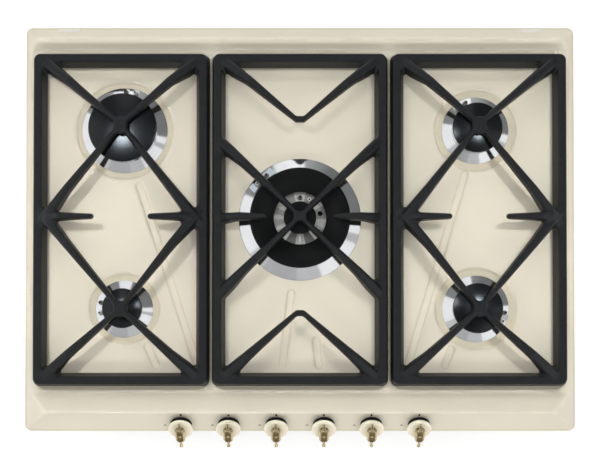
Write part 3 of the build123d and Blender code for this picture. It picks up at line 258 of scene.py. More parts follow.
def dress(node, material):
    """Gives a CAD node its material."""
    carrier = frame["nodes"][node]
    carrier.data.materials.clear()
    carrier.data.materials.append(material)


def cad_copy(node):
    """A copy of a CAD node's mesh, with its edges' points merged, to soften and refine."""
    piece = frame["nodes"][node].copy()
    piece.data = piece.data.copy()
    piece.parent = None
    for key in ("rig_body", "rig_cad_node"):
        if key in piece:
            del piece[key]
    bpy.context.collection.objects.link(piece)
    select_only(piece)
    bpy.ops.object.mode_set(mode="EDIT")
    bpy.ops.mesh.select_all(action="SELECT")
    bpy.ops.mesh.remove_doubles(threshold=1e-6)
    bpy.ops.object.mode_set(mode="OBJECT")
    return piece


def apply_modifier(piece, kind, **settings):
    select_only(piece)
    modifier = piece.modifiers.new(kind.title(), kind)
    for key, value in settings.items():
        setattr(modifier, key, value)
    bpy.ops.object.modifier_apply(modifier=modifier.name)


def cut_away(piece, cutters):
    """Takes cutter objects out of a piece and deletes them."""
    for cutter in cutters:
        apply_modifier(piece, "BOOLEAN", operation="DIFFERENCE", solver="EXACT", object=cutter)
        bpy.data.objects.remove(cutter)


def joined(objects):
    """One object from several."""
    select_only(*objects)
    bpy.ops.object.join()
    return bpy.context.view_layer.objects.active


def rod(radius, low, high, x, y, segments=32):
    """An upright round cutter, in millimetres."""
    bpy.ops.mesh.primitive_cylinder_add(vertices=segments, radius=radius * MM, depth=(high - low) * MM,
                                        location=(x * MM, y * MM, (low + high) / 2 * MM))
    return bpy.context.object


def block(low, high, place=None):
    """A block between two corners in millimetres, in a frame of its own if it has one."""
    size = [(b - a) * MM for a, b in zip(low, high)]
    centre = [(a + b) / 2 * MM for a, b in zip(low, high)]
    bpy.ops.mesh.primitive_cube_add(size=1)
    piece = bpy.context.object
    piece.matrix_world = (place or Matrix()) @ Matrix.Translation(centre) @ Matrix.Diagonal((*size, 1))
    select_only(piece)
    bpy.ops.object.transform_apply(location=True, rotation=True, scale=True)
    return piece


def eased(points, radius, steps=4):
    """A profile with its inner corners rounded: each corner becomes a short curve."""
    soft = [points[0]]
    for before, corner, after in zip(points, points[1:], points[2:]):
        back = math.dist(before, corner)
        ahead = math.dist(corner, after)
        trim = min(radius, 0.45 * back, 0.45 * ahead)
        start = [corner[i] + (before[i] - corner[i]) * trim / back for i in (0, 1)]
        end = [corner[i] + (after[i] - corner[i]) * trim / ahead for i in (0, 1)]
        for step in range(steps + 1):
            t = step / steps
            soft.append(tuple((1 - t) ** 2 * start[i] + 2 * t * (1 - t) * corner[i] + t * t * end[i]
                              for i in (0, 1)))
    soft.append(points[-1])
    return soft


NEAR_AXIS = 1.0


def turned(profile, x=0.0, y=0.0, segments=96):
    """A turned piece: a circle extruded ring by ring along a profile of (radius, height) in millimetres.

    A profile that starts or ends near the axis is closed there.
    """
    first = profile[0]
    bpy.ops.object.select_all(action="DESELECT")
    bpy.ops.mesh.primitive_circle_add(vertices=segments, radius=first[0] * MM,
                                      location=(x * MM, y * MM, first[1] * MM))
    piece = bpy.context.object
    bpy.ops.object.mode_set(mode="EDIT")
    bpy.ops.mesh.select_all(action="SELECT")
    if first[0] < NEAR_AXIS:
        bpy.ops.mesh.edge_face_add()
    for before, after in zip(profile, profile[1:]):
        rise = (0, 0, (after[1] - before[1]) * MM)
        bpy.ops.mesh.extrude_region_move(TRANSFORM_OT_translate={"value": rise})
        grow = after[0] / before[0]
        centre = (x * MM, y * MM, after[1] * MM)
        bpy.ops.transform.resize(value=(grow, grow, 1), center_override=centre)
    if profile[-1][0] < NEAR_AXIS:
        bpy.ops.mesh.merge(type="CENTER")
    bpy.ops.mesh.select_all(action="SELECT")
    bpy.ops.mesh.remove_doubles(threshold=1e-6)
    bpy.ops.mesh.normals_make_consistent(inside=False)
    bpy.ops.object.mode_set(mode="OBJECT")
    return piece


# ---------------------------------------------------------------- materials


def coat(tree, shader, code, tones, tone, relief, strength, depth, blend="LINEAR"):
    """Colours a surface along a ramp by one pattern and raises it by another.

    Tones are the ramp's stops as (position, brightness of the hex colour). Depth is in metres.
    """
    ramp = add_node(tree, "ShaderNodeValToRGB", links={"Fac": tone.outputs["Fac"]})
    ramp.color_ramp.interpolation = blend
    set_ramp(ramp, [(position, shade(code, level)) for position, level in tones])
    tree.links.new(ramp.outputs["Color"], shader.inputs["Base Color"])
    bump = add_node(tree, "ShaderNodeBump", {"Strength": strength, "Distance": depth},
                    {"Height": relief.outputs["Fac"]})
    tree.links.new(bump.outputs["Normal"], shader.inputs["Normal"])


def grained(name, code, tones, grain, detail, strength, depth, **shader_values):
    """A material that one fine noise both shades and raises. Grain and depth are in metres."""
    material, tree, shader = new_material(name, **shader_values)
    place = add_node(tree, "ShaderNodeTexCoord")
    fine = add_node(tree, "ShaderNodeTexNoise", {"Scale": 1 / grain, "Detail": detail},
                    {"Vector": place.outputs["Object"]})
    coat(tree, shader, code, tones, fine, fine, strength, depth)
    return material


def cream_enamel(name, code, roughness=0.25):
    """Vitreous enamel on pressed steel: glossy, with a faint orange peel and a slow drift of colour."""
    material, tree, shader = new_material(name, Roughness=roughness, IOR=1.5)
    place = add_node(tree, "ShaderNodeTexCoord").outputs["Object"]
    drift = add_node(tree, "ShaderNodeTexNoise", {"Scale": 9.0, "Detail": 2.0}, {"Vector": place})
    # firing leaves waves about 4 mm long, too shallow to see except in a reflection
    peel = add_node(tree, "ShaderNodeTexNoise", {"Scale": 1 / 0.004, "Detail": 1.0}, {"Vector": place})
    coat(tree, shader, code, ((0.30, 0.965), (0.70, 1.02)), drift, peel, 0.05, 0.0004)
    return material


# Printed beside each knob, in mm: how far along the knobs' pitch, Y, radius, colour
MARKS = ((30.75, -243.2, 1.3, "0C0B0A"), (9.2, -256.2, 0.8, "8C7A60"), (10.3, -257.3, 0.7, "8C7A60"),
         (8.1, -257.3, 0.7, "8C7A60"))


def enamelled(material):
    """An enamel's tree, its colour socket with what feeds it, and its place split into X, Y and Z."""
    tree = material.node_tree
    socket = tree.nodes["Principled BSDF"].inputs["Base Color"]
    place = add_node(tree, "ShaderNodeTexCoord")
    split = add_node(tree, "ShaderNodeSeparateXYZ", links={"Vector": place.outputs["Object"]})
    return tree, socket, socket.links[0].from_socket, split


def print_marks(material):
    """Prints a black dot above each knob and a small brown mark of three dots beside it."""
    tree, socket, enamel, split = enamelled(material)
    along = add_node(tree, "ShaderNodeMath", {1: KNOB_PITCH * MM, 2: 0.0}, {0: split.outputs["X"]},
                     operation="WRAP")
    spot = add_node(tree, "ShaderNodeCombineXYZ", links={"X": along.outputs[0], "Y": split.outputs["Y"]})
    away = add_node(tree, "ShaderNodeMath", links={0: split.outputs["X"]}, operation="ABSOLUTE")
    within = add_node(tree, "ShaderNodeMath", {1: len(KNOBS) / 2 * KNOB_PITCH * MM}, {0: away.outputs[0]},
                      operation="LESS_THAN")
    for x, y, radius, code in MARKS:
        reach = add_node(tree, "ShaderNodeVectorMath", {1: (x * MM, y * MM, 0)}, {0: spot.outputs["Vector"]},
                         operation="DISTANCE")
        inked = add_node(tree, "ShaderNodeMath", {1: radius * MM}, {0: reach.outputs["Value"]},
                         operation="LESS_THAN")
        share = add_node(tree, "ShaderNodeMath", links={0: inked.outputs[0], 1: within.outputs[0]},
                         operation="MULTIPLY")
        mark = add_node(tree, "ShaderNodeMix", {7: linear(code)}, {"Factor": share.outputs[0], 6: enamel},
                        data_type="RGBA")
        enamel = mark.outputs[2]
    tree.links.new(enamel, socket)


# Painted shade in the recesses: where the darker cream that stands for it starts and is full, from above and
# from below, as heights in mm. The dishes' floors at 2.5 and the grooves' walls take it, the wells' floors at
# 4.0 and the grooves' floors at 2.1 stay light.
SHADE_TOP, SHADE_BOTTOM = (3.9, 3.2), (2.15, 2.45)
# the colour that the painted shade in the recesses multiplies the cream by
RECESS_SHADE_COLOUR = (0.9, 0.885, 0.83, 1)


def paint_recess_shade(material):
    """Paints shade on the dishes' floors and the grooves' walls: a deeper cream where these recesses lie in
    shade.
    """
    tree, socket, enamel, split = enamelled(material)
    fades = [add_node(tree, "ShaderNodeMapRange", {"From Min": none * MM, "From Max": full * MM},
                      {"Value": split.outputs["Z"]}) for none, full in (SHADE_TOP, SHADE_BOTTOM)]
    share = add_node(tree, "ShaderNodeMath", operation="MULTIPLY",
                     links={i: fade.outputs["Result"] for i, fade in enumerate(fades)})
    # the painted shade: the cream multiplied darker inside the recesses
    painted_shade = add_node(tree, "ShaderNodeMix", {7: RECESS_SHADE_COLOUR}, {"Factor": share.outputs[0], 6: enamel},
                      data_type="RGBA", blend_type="MULTIPLY")
    tree.links.new(painted_shade.outputs[2], socket)


def cast_iron_enamel(name, code, grain):
    """Matt enamel over sand-cast iron: a dark grey with a fine pebbled grain and a dull sheen."""
    material, tree, shader = new_material(name, Roughness=0.5, IOR=1.5)
    place = add_node(tree, "ShaderNodeTexCoord").outputs["Object"]
    coarse = add_node(tree, "ShaderNodeTexNoise", {"Scale": 1 / (7 * grain), "Detail": 3.0},
                      {"Vector": place})
    fine = add_node(tree, "ShaderNodeTexNoise", {"Scale": 1 / grain, "Detail": 4.0, "Roughness": 0.6},
                    {"Vector": place})
    coat(tree, shader, code, ((0.3, 0.82), (0.7, 1.18)), coarse, fine, 0.3, 0.00035)
    dull = add_node(tree, "ShaderNodeMapRange", {"To Min": 0.42, "To Max": 0.6},
                    {"Value": fine.outputs["Fac"]})
    tree.links.new(dull.outputs["Result"], shader.inputs["Roughness"])
    return material


def cap_enamel(name, code, roughness, ior):
    """Black enamel on a pressed steel cap: near black, with soft reflections and a faint pebble."""
    return grained(name, code, ((0.3, 0.85), (0.7, 1.15)), 0.0012, 3.0, 0.08, 0.0002,
                   Roughness=roughness, IOR=ior)


def round_axis(tree, place, at):
    """Places counted from a burner's axis, for patterns that go round it."""
    centred = add_node(tree, "ShaderNodeMapping", {"Location": (-at[0] * MM, -at[1] * MM, 0)},
                       {"Vector": place})
    return centred.outputs["Vector"]


def turned_metal(name, code, roughness, at):
    """Metal turned on a lathe and polished: fine rings round its axis, which a highlight breaks up on."""
    material, tree, shader = new_material(name, Metallic=1.0, Roughness=roughness)
    place = add_node(tree, "ShaderNodeTexCoord").outputs["Object"]
    # at scale 1 this texture's rings are 314 mm apart, so here 5 mm: a tool's are finer and would not show
    rings = add_node(tree, "ShaderNodeTexWave", {"Scale": 62.5, "Distortion": 0.6, "Detail": 2.0},
                     {"Vector": round_axis(tree, place, at)}, wave_type="RINGS", rings_direction="Z")
    stain = add_node(tree, "ShaderNodeTexNoise", {"Scale": 60.0, "Detail": 3.0}, {"Vector": place})
    coat(tree, shader, code, ((0.3, 0.93), (0.7, 1.0)), stain, rings, 0.06, 0.0001)
    return material


def machined_casting(name, code, at, sectors):
    """Aluminium casting with bright machined lands and duller cast pockets, by angle round its axis."""
    material, tree, shader = new_material(name, Metallic=0.35, Roughness=0.3)
    place = add_node(tree, "ShaderNodeTexCoord").outputs["Object"]
    turn = add_node(tree, "ShaderNodeTexGradient", links={"Vector": round_axis(tree, place, at)},
                    gradient_type="RADIAL")
    fine = add_node(tree, "ShaderNodeTexNoise", {"Scale": 1 / 0.001, "Detail": 3.0}, {"Vector": place})
    tones = [(0.5 + angle / 360, level) for angle, level in sectors]
    coat(tree, shader, code, tones, turn, fine, 0.08, 0.0002, blend="CONSTANT")
    return material


def plain_metal(name, code, roughness, grain=0.002, strength=0.1):
    """Drawn, cast or plated metal: an even tone with a fine uneven sheen."""
    return grained(name, code, ((0.25, 0.75), (0.75, 1.1)), grain, 3.0, strength, 0.0002,
                   Metallic=1.0, Roughness=roughness)


def moulded(name, code, roughness):
    """Moulded plastic, rubber or fired ceramic: one colour with a fine matt texture."""
    return grained(name, code, ((0.3, 0.92), (0.7, 1.05)), 0.0008, 2.0, 0.12, 0.00015,
                   Roughness=roughness, IOR=1.46)


# ---------------------------------------------------------------- pressed top


def soft_min(a, b, k):
    """The smaller of two heights, with the fold between them rounded."""
    h = np.clip(0.5 + 0.5 * (b - a) / k, 0, 1)
    return b * (1 - h) + a * h - k * h * (1 - h)


def soft_max(a, b, k):
    return -soft_min(-a, -b, k)


def ramp_down(distance, run, ease):
    """0 outside an edge and 1 inside it, past a straight slope with eased ends. Distance grows inwards."""
    slope = np.clip(distance / run, -1, 2)
    return soft_min(soft_max(slope, np.zeros_like(slope), ease), np.ones_like(slope), ease)


def sunk(height, within, depth, ease):
    """A height lowered inside an edge, over a wall at 45 degrees."""
    return height - depth * ramp_down(within, depth, ease)


def climb(distance, slope):
    """How far a slope of (rise, run) climbs over a distance."""
    return distance * slope[0] / slope[1]


def inside_rectangle(x, y, centre, width, depth, corner):
    """Distance inwards from a rounded rectangle's outline."""
    dx = np.abs(x - centre[0]) - (width / 2 - corner)
    dy = np.abs(y - centre[1]) - (depth / 2 - corner)
    outside = np.hypot(np.maximum(dx, 0), np.maximum(dy, 0))
    return corner - outside - np.minimum(np.maximum(dx, dy), 0)


def beside_line(x, y, start, end):
    """Distance from a straight run between two points."""
    run = np.array(end) - np.array(start)
    share = np.clip(((x - start[0]) * run[0] + (y - start[1]) * run[1]) / (run @ run), 0, 1)
    return np.hypot(x - start[0] - share * run[0], y - start[1] - share * run[1])


# The pressing, in mm. Its slopes are (rise, run), and the front one rises at 45 degrees.
HALF_WIDTH, HALF_DEPTH, CORNER = 360.0, 265.0, 9.0
EDGE_Z, FLAT_Z, CREST_Z, LIP_Z = 1.0, 6.5, 26.0, 14.0
SIDE_SLOPE, REAR_SLOPE, APRON_SLOPE = (25, 33), (13, 16.5), (19.5, 26.5)
CREST_Y, UPSTAND_Y = -240.0, 234.5
UPSTAND_RISE, CORNER_RISE = 0.75, 1.25
# Shares of the folds' radius: the folds round the outside, and the tighter ones at the upstand and its lip
OUTER_FOLD, LIP_FOLD = 0.8, 0.3
WELL_CENTRES = ((-232.0, 10.0), (0.0, 10.0), (232.0, 10.0))
WELL_WIDTH, WELL_LENGTH, WELL_CORNER = 230.0, 440.0, 15.0
WELL_DEPTH, DISH_DEPTH, GROOVE_DEPTH = 2.5, 1.5, 1.9
WELL_EASE, DISH_EASE, GROOVE_EASE = 0.4, 0.25, 0.25
DISH_RADII = {"rear_left": 64.0, "front_left": 47.0, "rear_right": 54.0, "front_right": 54.0}
# Each groove runs from beside a burner to behind the front bar: the burner, the offset, and the X it ends at
GROOVE_HALF_WIDTH, GROOVE_END_Y = 5.7, -179
DRAIN_GROOVES = (
    ("rear_left", (19.1, -71.9), -134.2),
    ("front_left", (30.0, -48.1), -188.0),
    ("centre", (-11.4, -96.1), -23.1),
    ("centre", (21.2, -158.9), 24.4),
    ("rear_right", (-13.8, -57.5), 140.8),
    ("front_right", (-32.1, -52.3), 189.4),
)


def plate_height(x, y, fold):
    """Height of the pressed top's upper face in millimetres, from its slopes, crests and recesses."""
    side = EDGE_Z + climb(HALF_WIDTH - np.abs(x), SIDE_SLOPE)
    front = EDGE_Z + (y + HALF_DEPTH)
    rear = EDGE_Z + climb(HALF_DEPTH - y, REAR_SLOPE)
    apron = CREST_Z - climb(y - CREST_Y, APRON_SLOPE)
    upstand = FLAT_Z + (y - UPSTAND_Y) * UPSTAND_RISE
    inner = soft_max(np.full_like(x, FLAT_Z), apron, fold)
    inner = soft_max(inner, soft_min(upstand, np.full_like(x, LIP_Z), LIP_FOLD * fold), fold)
    height = soft_min(inner, front, OUTER_FOLD * fold)
    height = soft_min(height, rear, LIP_FOLD * fold)
    height = soft_min(height, side, OUTER_FOLD * fold)
    for centre in WELL_CENTRES:
        within = inside_rectangle(x, y, centre, WELL_WIDTH, WELL_LENGTH, WELL_CORNER)
        height = sunk(height, within, WELL_DEPTH, WELL_EASE)
    for name, radius in DISH_RADII.items():
        at = BURNER_LAYOUT[name]["at"]
        height = sunk(height, radius - np.hypot(x - at[0], y - at[1]), DISH_DEPTH, DISH_EASE)
    for name, offset, end_x in DRAIN_GROOVES:
        at = BURNER_LAYOUT[name]["at"]
        away = beside_line(x, y, (at[0] + offset[0], at[1] + offset[1]), (end_x, GROOVE_END_Y))
        height = sunk(height, GROOVE_HALF_WIDTH - away, GROOVE_DEPTH, GROOVE_EASE)
    return height


# The top's openings, in mm: a burner's hole is hidden by its cap's edge
CAP_OVERLAP, PROBE_HOLE, STEM_HOLE = 3.4, 3.6, 5.0
# How much of the top's ends is drawn in for the round corners of its outline, in mm
DRAWN_IN = 30


class COOKTOP_OT_pressed_top(bpy.types.Operator):
    """Presses the enamelled top out of a fine grid"""

    bl_idname = "cooktop.pressed_top"
    bl_label = "Pressed top"

    def execute(self, context):
        sizes = context.scene.cooktop_top
        low, high = (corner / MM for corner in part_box("top_plate"))
        width, depth = high.x - low.x, high.y - low.y
        step = sizes.mesh_step / MM
        select_only()
        bpy.ops.mesh.primitive_grid_add(x_subdivisions=round(width / step),
                                        y_subdivisions=round(depth / step), size=1)
        top = context.object
        top.scale = (width, depth, 1)
        bpy.ops.object.transform_apply(scale=True)
        points = np.zeros(len(top.data.vertices) * 3)
        top.data.vertices.foreach_get("co", points)
        points = points.reshape(-1, 3)
        self.round_outline(points, width / 2, depth / 2)
        x, y = points[:, 0], points[:, 1]
        inwards = np.maximum(inside_rectangle(x, y, (0, 0), width, depth, CORNER), 0)
        rim = EDGE_Z + CORNER_RISE * inwards
        points[:, 2] = np.minimum(plate_height(x, y, sizes.edge_radius / MM), rim)
        top.data.vertices.foreach_set("co", (points * MM).ravel())
        apply_modifier(top, "DECIMATE", ratio=0.3)
        apply_modifier(top, "SOLIDIFY", thickness=sizes.sheet, offset=-1)
        cut_away(top, [joined(self.openings())])
        settle(top, "pressed_top")
        finish_piece(top, "cooktop", self.enamel(context), "top_plate", angle=40)
        return {"FINISHED"}

    def round_outline(self, points, half_x, half_y):
        """Draws the grid's end columns in where the outline's corners are round."""
        over = np.maximum(np.abs(points[:, 1]) - (half_y - CORNER), 0)
        narrow = half_x - CORNER + np.sqrt(np.maximum(CORNER**2 - over**2, 0))
        start = half_x - DRAWN_IN
        beyond = np.maximum(np.abs(points[:, 0]) - start, 0) * (narrow - start) / (half_x - start)
        points[:, 0] = np.sign(points[:, 0]) * (np.minimum(np.abs(points[:, 0]), start) + beyond)

    def openings(self):
        """Cutters for the burners, their probes and the knob stems."""
        cutters = []
        for burner in BURNER_LAYOUT.values():
            cutters.append(rod(burner["cap"] - CAP_OVERLAP, -20, 20, *burner["at"], 64))
            cutters += [rod(PROBE_HOLE, -20, 20, *spot) for spot in probe_spots(burner)]
        for number in KNOBS:
            stem = rod(STEM_HOLE, -6, 6, 0, 0)
            stem.matrix_world = knob_place(number) @ stem.matrix_world
            cutters.append(stem)
        return cutters

    def enamel(self, context):
        enamel = cream_enamel("vitreous_enamel_cream", context.scene.cooktop_colours.cream)
        # paints shade into the dishes and grooves as a deeper cream
        paint_recess_shade(enamel)
        print_marks(enamel)
        return enamel


# ---------------------------------------------------------------- pan supports


# The middle support's V tips, in mm from its crossing: the sharp end is cut off and a web blunts it
TIP_CUT, TIP_CUT_WIDTH, TIP_CUT_Z = (104, 120.1), 24, (30, 52)
TIP_WEB, TIP_WEB_WIDTH = (121, 127.8), 12.4
WEB_Z = (37.1, 45.1)
# Webs that fill a side crossing, in mm: how far they are moved to the rear, and each one's width and reach to
# the front and to the rear
CROSSING_WEBS = {
    "rear": (1.2, ((4.5, 13.5, 10), (9, 11.5, 9), (12.5, 0, 8))),
    "front": (-1.2, ((4.5, 11, 10), (9, 9.5, 9))),
}


class COOKTOP_OT_pan_supports(bpy.types.Operator):
    """Softens the pan supports as castings and gives them matt enamel"""

    bl_idname = "cooktop.pan_supports"
    bl_label = "Pan supports"

    def execute(self, context):
        sizes = context.scene.cooktop_supports
        iron = cast_iron_enamel("matt_enamelled_cast_iron", context.scene.cooktop_colours.iron, sizes.grain)
        rubber = moulded("moulded_rubber_feet", "1B1B1B", 0.75)
        for side in SIDES:
            node = f"pan_support_{side}"
            casting = cad_copy(node)
            if side == "middle":
                cut_away(casting, [self.upright(0, *ends, TIP_CUT_WIDTH, TIP_CUT_Z)
                                   for ends in self.beyond_tips(*TIP_CUT)])
            casting = joined([casting] + self.webs(side))
            apply_modifier(casting, "REMESH", mode="VOXEL", voxel_size=sizes.voxel)
            # swelling the casting and drawing it in again leaves fillets in its inner corners
            for strength in (sizes.fillet, -sizes.fillet):
                apply_modifier(casting, "DISPLACE", strength=strength, mid_level=0)
                apply_modifier(casting, "REMESH", mode="VOXEL", voxel_size=sizes.voxel)
            apply_modifier(casting, "SMOOTH", factor=sizes.softness, iterations=2)
            apply_modifier(casting, "DECIMATE", ratio=0.4)
            settle(casting, f"cast_pan_support_{side}")
            finish_piece(casting, f"pan_support_{side}", iron, node, angle=180)
            dress(f"support_feet_{side}", rubber)
        return {"FINISHED"}

    def beyond_tips(self, near, far):
        """Front and rear ends of a stretch at the tip of each V of the middle support, from its crossing."""
        y = BURNER_LAYOUT["centre"]["at"][1]
        return ((y + near, y + far), (y - far, y - near))

    def webs(self, side):
        """Blocks that fill the narrow corners between the arms where they cross."""
        if side == "middle":
            return [self.upright(0, *ends, TIP_WEB_WIDTH, WEB_Z) for ends in self.beyond_tips(*TIP_WEB)]
        blocks = []
        for name in SIDE_BURNERS:
            if name.endswith(side):
                x, y = BURNER_LAYOUT[name]["at"]
                moved, webs = CROSSING_WEBS[name.split("_")[0]]
                y += moved
                blocks += [self.upright(x, y - to_front, y + to_rear, width, WEB_Z)
                           for width, to_front, to_rear in webs]
        return blocks

    def upright(self, x, front, rear, width, heights):
        """A block centred on X, between two heights."""
        return block((x - width / 2, front, heights[0]), (x + width / 2, rear, heights[1]))


# ---------------------------------------------------------------- burners


class COOKTOP_OT_burner_caps(bpy.types.Operator):
    """Turns the burner caps"""

    bl_idname = "cooktop.burner_caps"
    bl_label = "Burner caps"

    def execute(self, context):
        colours = context.scene.cooktop_colours
        edge = context.scene.cooktop_burners.cap_edge_radius / MM
        gloss = cap_enamel("gloss_enamelled_steel_cap", colours.cap, 0.2, 1.42)
        satin = cap_enamel("satin_enamelled_steel_ring", colours.ring, 0.45, 1.35)
        for name in SIDE_BURNERS:
            self.dome(name, edge, gloss)
        self.outer_ring(edge, satin)
        self.inner_disc(edge, satin)
        return {"FINISHED"}

    def dome(self, name, edge, material):
        burner = BURNER_LAYOUT[name]
        cap = burner["cap"]
        foot, underside, shoulder, rise = 20, 23, 26, 5
        inside = cap - 9.9
        wall = [(inside - 2, underside), (inside - 2, foot), (inside, foot), (inside, underside),
                (cap - 0.3, underside + 0.2)]
        crown = [(cap, 24.2), (cap, shoulder)]
        dome = [(cap * share, shoulder + rise * (1 - share * share))
                for share in (0.93, 0.8, 0.65, 0.5, 0.35, 0.2, 0.1)]
        profile = [(0.4, underside)] + wall + eased(crown + dome[:2], edge)[1:-1] + dome[1:]
        profile.append((0.4, shoulder + rise))
        piece = turned(profile, *burner["at"], 128)
        settle(piece, f"domed_cap_{name}")
        finish_piece(piece, f"burner_cap_{name}", material, f"burner_cap_{name}")

    def outer_ring(self, edge, material):
        profile = [(34, 19.2), (36, 18), (53, 20), (53.1, 20), (55.1, 20), (55.1, 23), (64, 23), (65, 24.2),
                   (65, 26.6), (62.5, 28.4), (57, 28.2), (50, 26.4), (43, 23.6), (37, 21.2), (34, 20.0),
                   (34, 19.2)]
        piece = turned(eased(profile, edge, 3), *BURNER_LAYOUT["centre"]["at"], 160)
        settle(piece, "ring_cap_centre_outer")
        finish_piece(piece, "burner_cap_centre_outer", material, "burner_cap_centre_outer", angle=50)

    def inner_disc(self, edge, material):
        profile = [(0.4, 24), (12.6, 24), (12.6, 21), (14.6, 21), (14.6, 24), (20.4, 24), (21, 25),
                   (21, 27.8), (19.6, 28.9), (12.6, 29.6), (6, 29.9), (0.4, 30)]
        piece = turned(eased(profile, edge * 0.6, 3), *BURNER_LAYOUT["centre"]["at"])
        settle(piece, "disc_cap_centre_inner")
        finish_piece(piece, "burner_cap_centre_inner", material, "burner_cap_centre_inner")


class COOKTOP_OT_burner_collars(bpy.types.Operator):
    """Turns the polished collars and drills them for the probes"""

    bl_idname = "cooktop.burner_collars"
    bl_label = "Burner collars"

    def execute(self, context):
        code = context.scene.cooktop_colours.steel
        sizes = context.scene.cooktop_burners
        for name, burner in BURNER_LAYOUT.items():
            collar = self.cone(burner, sizes.collar_lip / MM, math.tan(sizes.collar_slope))
            if name == "centre":
                collar = self.flatten_seat(collar, burner)
            else:
                cut_away(collar, self.probe_holes(burner))
            settle(collar, f"polished_collar_{name}")
            steel = turned_metal(f"polished_steel_{name}", code, 0.09, burner["at"])
            finish_piece(collar, "cooktop", steel, "burner_collars")
        return {"FINISHED"}

    def cone(self, burner, lip, slope):
        """A polished cone with a flat rim at its foot and a straight neck under the cap."""
        foot, head, floor = burner["collar"], burner["cap"] - 1.8, burner["floor"]
        neck, top = head - 1.2, 16.0
        shoulder = floor + lip + (foot - head) * slope
        outside = [(foot, floor), (foot, floor + lip), (head, shoulder), (head, top), (neck, top)]
        inside = [(neck, shoulder - 0.8), (foot - 2.4, floor), (foot, floor)]
        return turned(eased(outside, 0.5, 3) + inside, *burner["at"], 160)

    def flatten_seat(self, collar, burner):
        """Cuts the cone open over the two probes and sets a flat step in the gap."""
        x, y = burner["at"]
        turn = math.radians(sum(burner["probes"][:2]) / 2)
        place = Matrix.Translation((x * MM, y * MM, 0)) @ Matrix.Rotation(turn, 4, "Z")
        cap, foot, floor = burner["cap"], burner["collar"], burner["floor"]
        cut_away(collar, [block((cap - 6, -19, floor + 4.4), (foot + 6, 19, 30), place)])
        seat = block((cap - 2.6, -18.95, floor + 3.2), (foot - 3.6, 18.95, floor + 4.35), place)
        for part in (collar, seat):
            cut_away(part, self.probe_holes(burner))
        return joined([collar, seat])

    def probe_holes(self, burner):
        return [rod(3.3, -5, 30, *spot) for spot in probe_spots(burner)]


# The middle spreader's bright lands and duller pockets: where each starts, anticlockwise from +X, and how
# bright it is
SPREADER_LANDS = ((-180, 0.6), (-165, 0.85), (-150, 0.55), (-140, 0.95), (-124, 0.32), (-102, 0.95),
                  (-78, 0.3), (-56, 0.95), (-38, 0.5), (-22, 0.8), (0, 0.45), (30, 0.9), (52, 0.5),
                  (76, 0.95), (104, 0.5), (125, 0.9), (152, 0.55), (168, 0.9))
# The middle burner's inner probes stand inside its ring, at angles and a radius as in BURNER_LAYOUT
INNER_PROBES = {"at": BURNER_LAYOUT["centre"]["at"], "probes": (90.0, 64.0, 28.0)}


class COOKTOP_OT_burner_inner_parts(bpy.types.Operator):
    """Gives the spreaders, cups, probes and injectors their metals"""

    bl_idname = "cooktop.burner_inner_parts"
    bl_label = "Burner inner parts"

    def execute(self, context):
        cast = plain_metal("die_cast_aluminium", "B9B9B4", 0.38)
        bright = machined_casting("machined_aluminium_spreader", "E2E0DA", BURNER_LAYOUT["centre"]["at"],
                                  SPREADER_LANDS)
        for name in SIDE_BURNERS:
            dress(f"flame_spreader_{name}", cast)
        dress("flame_spreader_centre", bright)
        dress("burner_cups", cast)
        dress("injectors", plain_metal("machined_brass", "B59A5E", 0.3))
        self.probes()
        return {"FINISHED"}

    def probes(self):
        """Turns the ceramic plugs and steel sleeves, each with its darker tip, round the burners."""
        glaze = moulded("glazed_ceramic", "F2F1EC", 0.2)
        tip = plain_metal("oxidised_electrode", "3A3532", 0.4)
        sleeve = plain_metal("bright_steel_sleeve", "C9C6BF", 0.25)
        tint = plain_metal("heat_tinted_steel", "5A4638", 0.35)
        # each burner's heights in mm: the spark's tip, the sensor's tip, and their lower end
        sets = [(burner, 20.5, 19.0, -19.0) for burner in BURNER_LAYOUT.values()]
        sets.append((INNER_PROBES, 19.0, 19.0, -27.0))
        for index, (burner, spark, sensor, low) in enumerate(sets, 1):
            sensor_spot, spark_spot = probe_spots(burner)
            body = [(0.4, low), (1.2, low), (2.8, low + 4), (2.8, spark - 5), (2.1, spark - 4.2),
                    (0.4, spark - 4.2)]
            pin = [(0.4, spark - 5), (1.05, spark - 5), (1.05, spark - 0.6), (0.4, spark)]
            shell = [(0.4, low + 3), (1.6, low + 3), (2.8, low + 6), (2.8, sensor - 7), (2.2, sensor - 6.4),
                     (0.4, sensor - 6.4)]
            rod_end = [(0.4, sensor - 7), (1.5, sensor - 7), (1.5, sensor - 1), (0.4, sensor)]
            for node, spot, name, profile, material in (
                    ("spark_plugs", spark_spot, "ceramic_plug", body, glaze),
                    ("spark_plugs", spark_spot, "electrode", pin, tip),
                    ("thermocouples", sensor_spot, "probe_sleeve", shell, sleeve),
                    ("thermocouples", sensor_spot, "probe_tip", rod_end, tint)):
                piece = turned(profile, *spot, 32)
                settle(piece, f"{name}_{index}")
                finish_piece(piece, "cooktop", material, node)


# ---------------------------------------------------------------- knobs


# Where the knobs' axes leave the front slope, in mm, in the frame's Y and Z
KNOB_FOOT = (-252.5, 13.5)


def knob_place(number):
    """The frame of a knob: Z stands out of the front slope and Y points up it."""
    half = math.sqrt(0.5)
    x = (number - (len(KNOBS) + 1) / 2) * KNOB_PITCH * MM
    y, z = KNOB_FOOT
    return Matrix(((1, 0, 0, x), (0, half, -half, y * MM), (0, half, half, z * MM), (0, 0, 0, 1)))


# The sunk ring in a lever's face, in mm in the knob's frame: its heights, and half its width and length
SUNK_RING_Z, SUNK_RING_HALF = (24.0, 25.75), (3.6, 9.6)


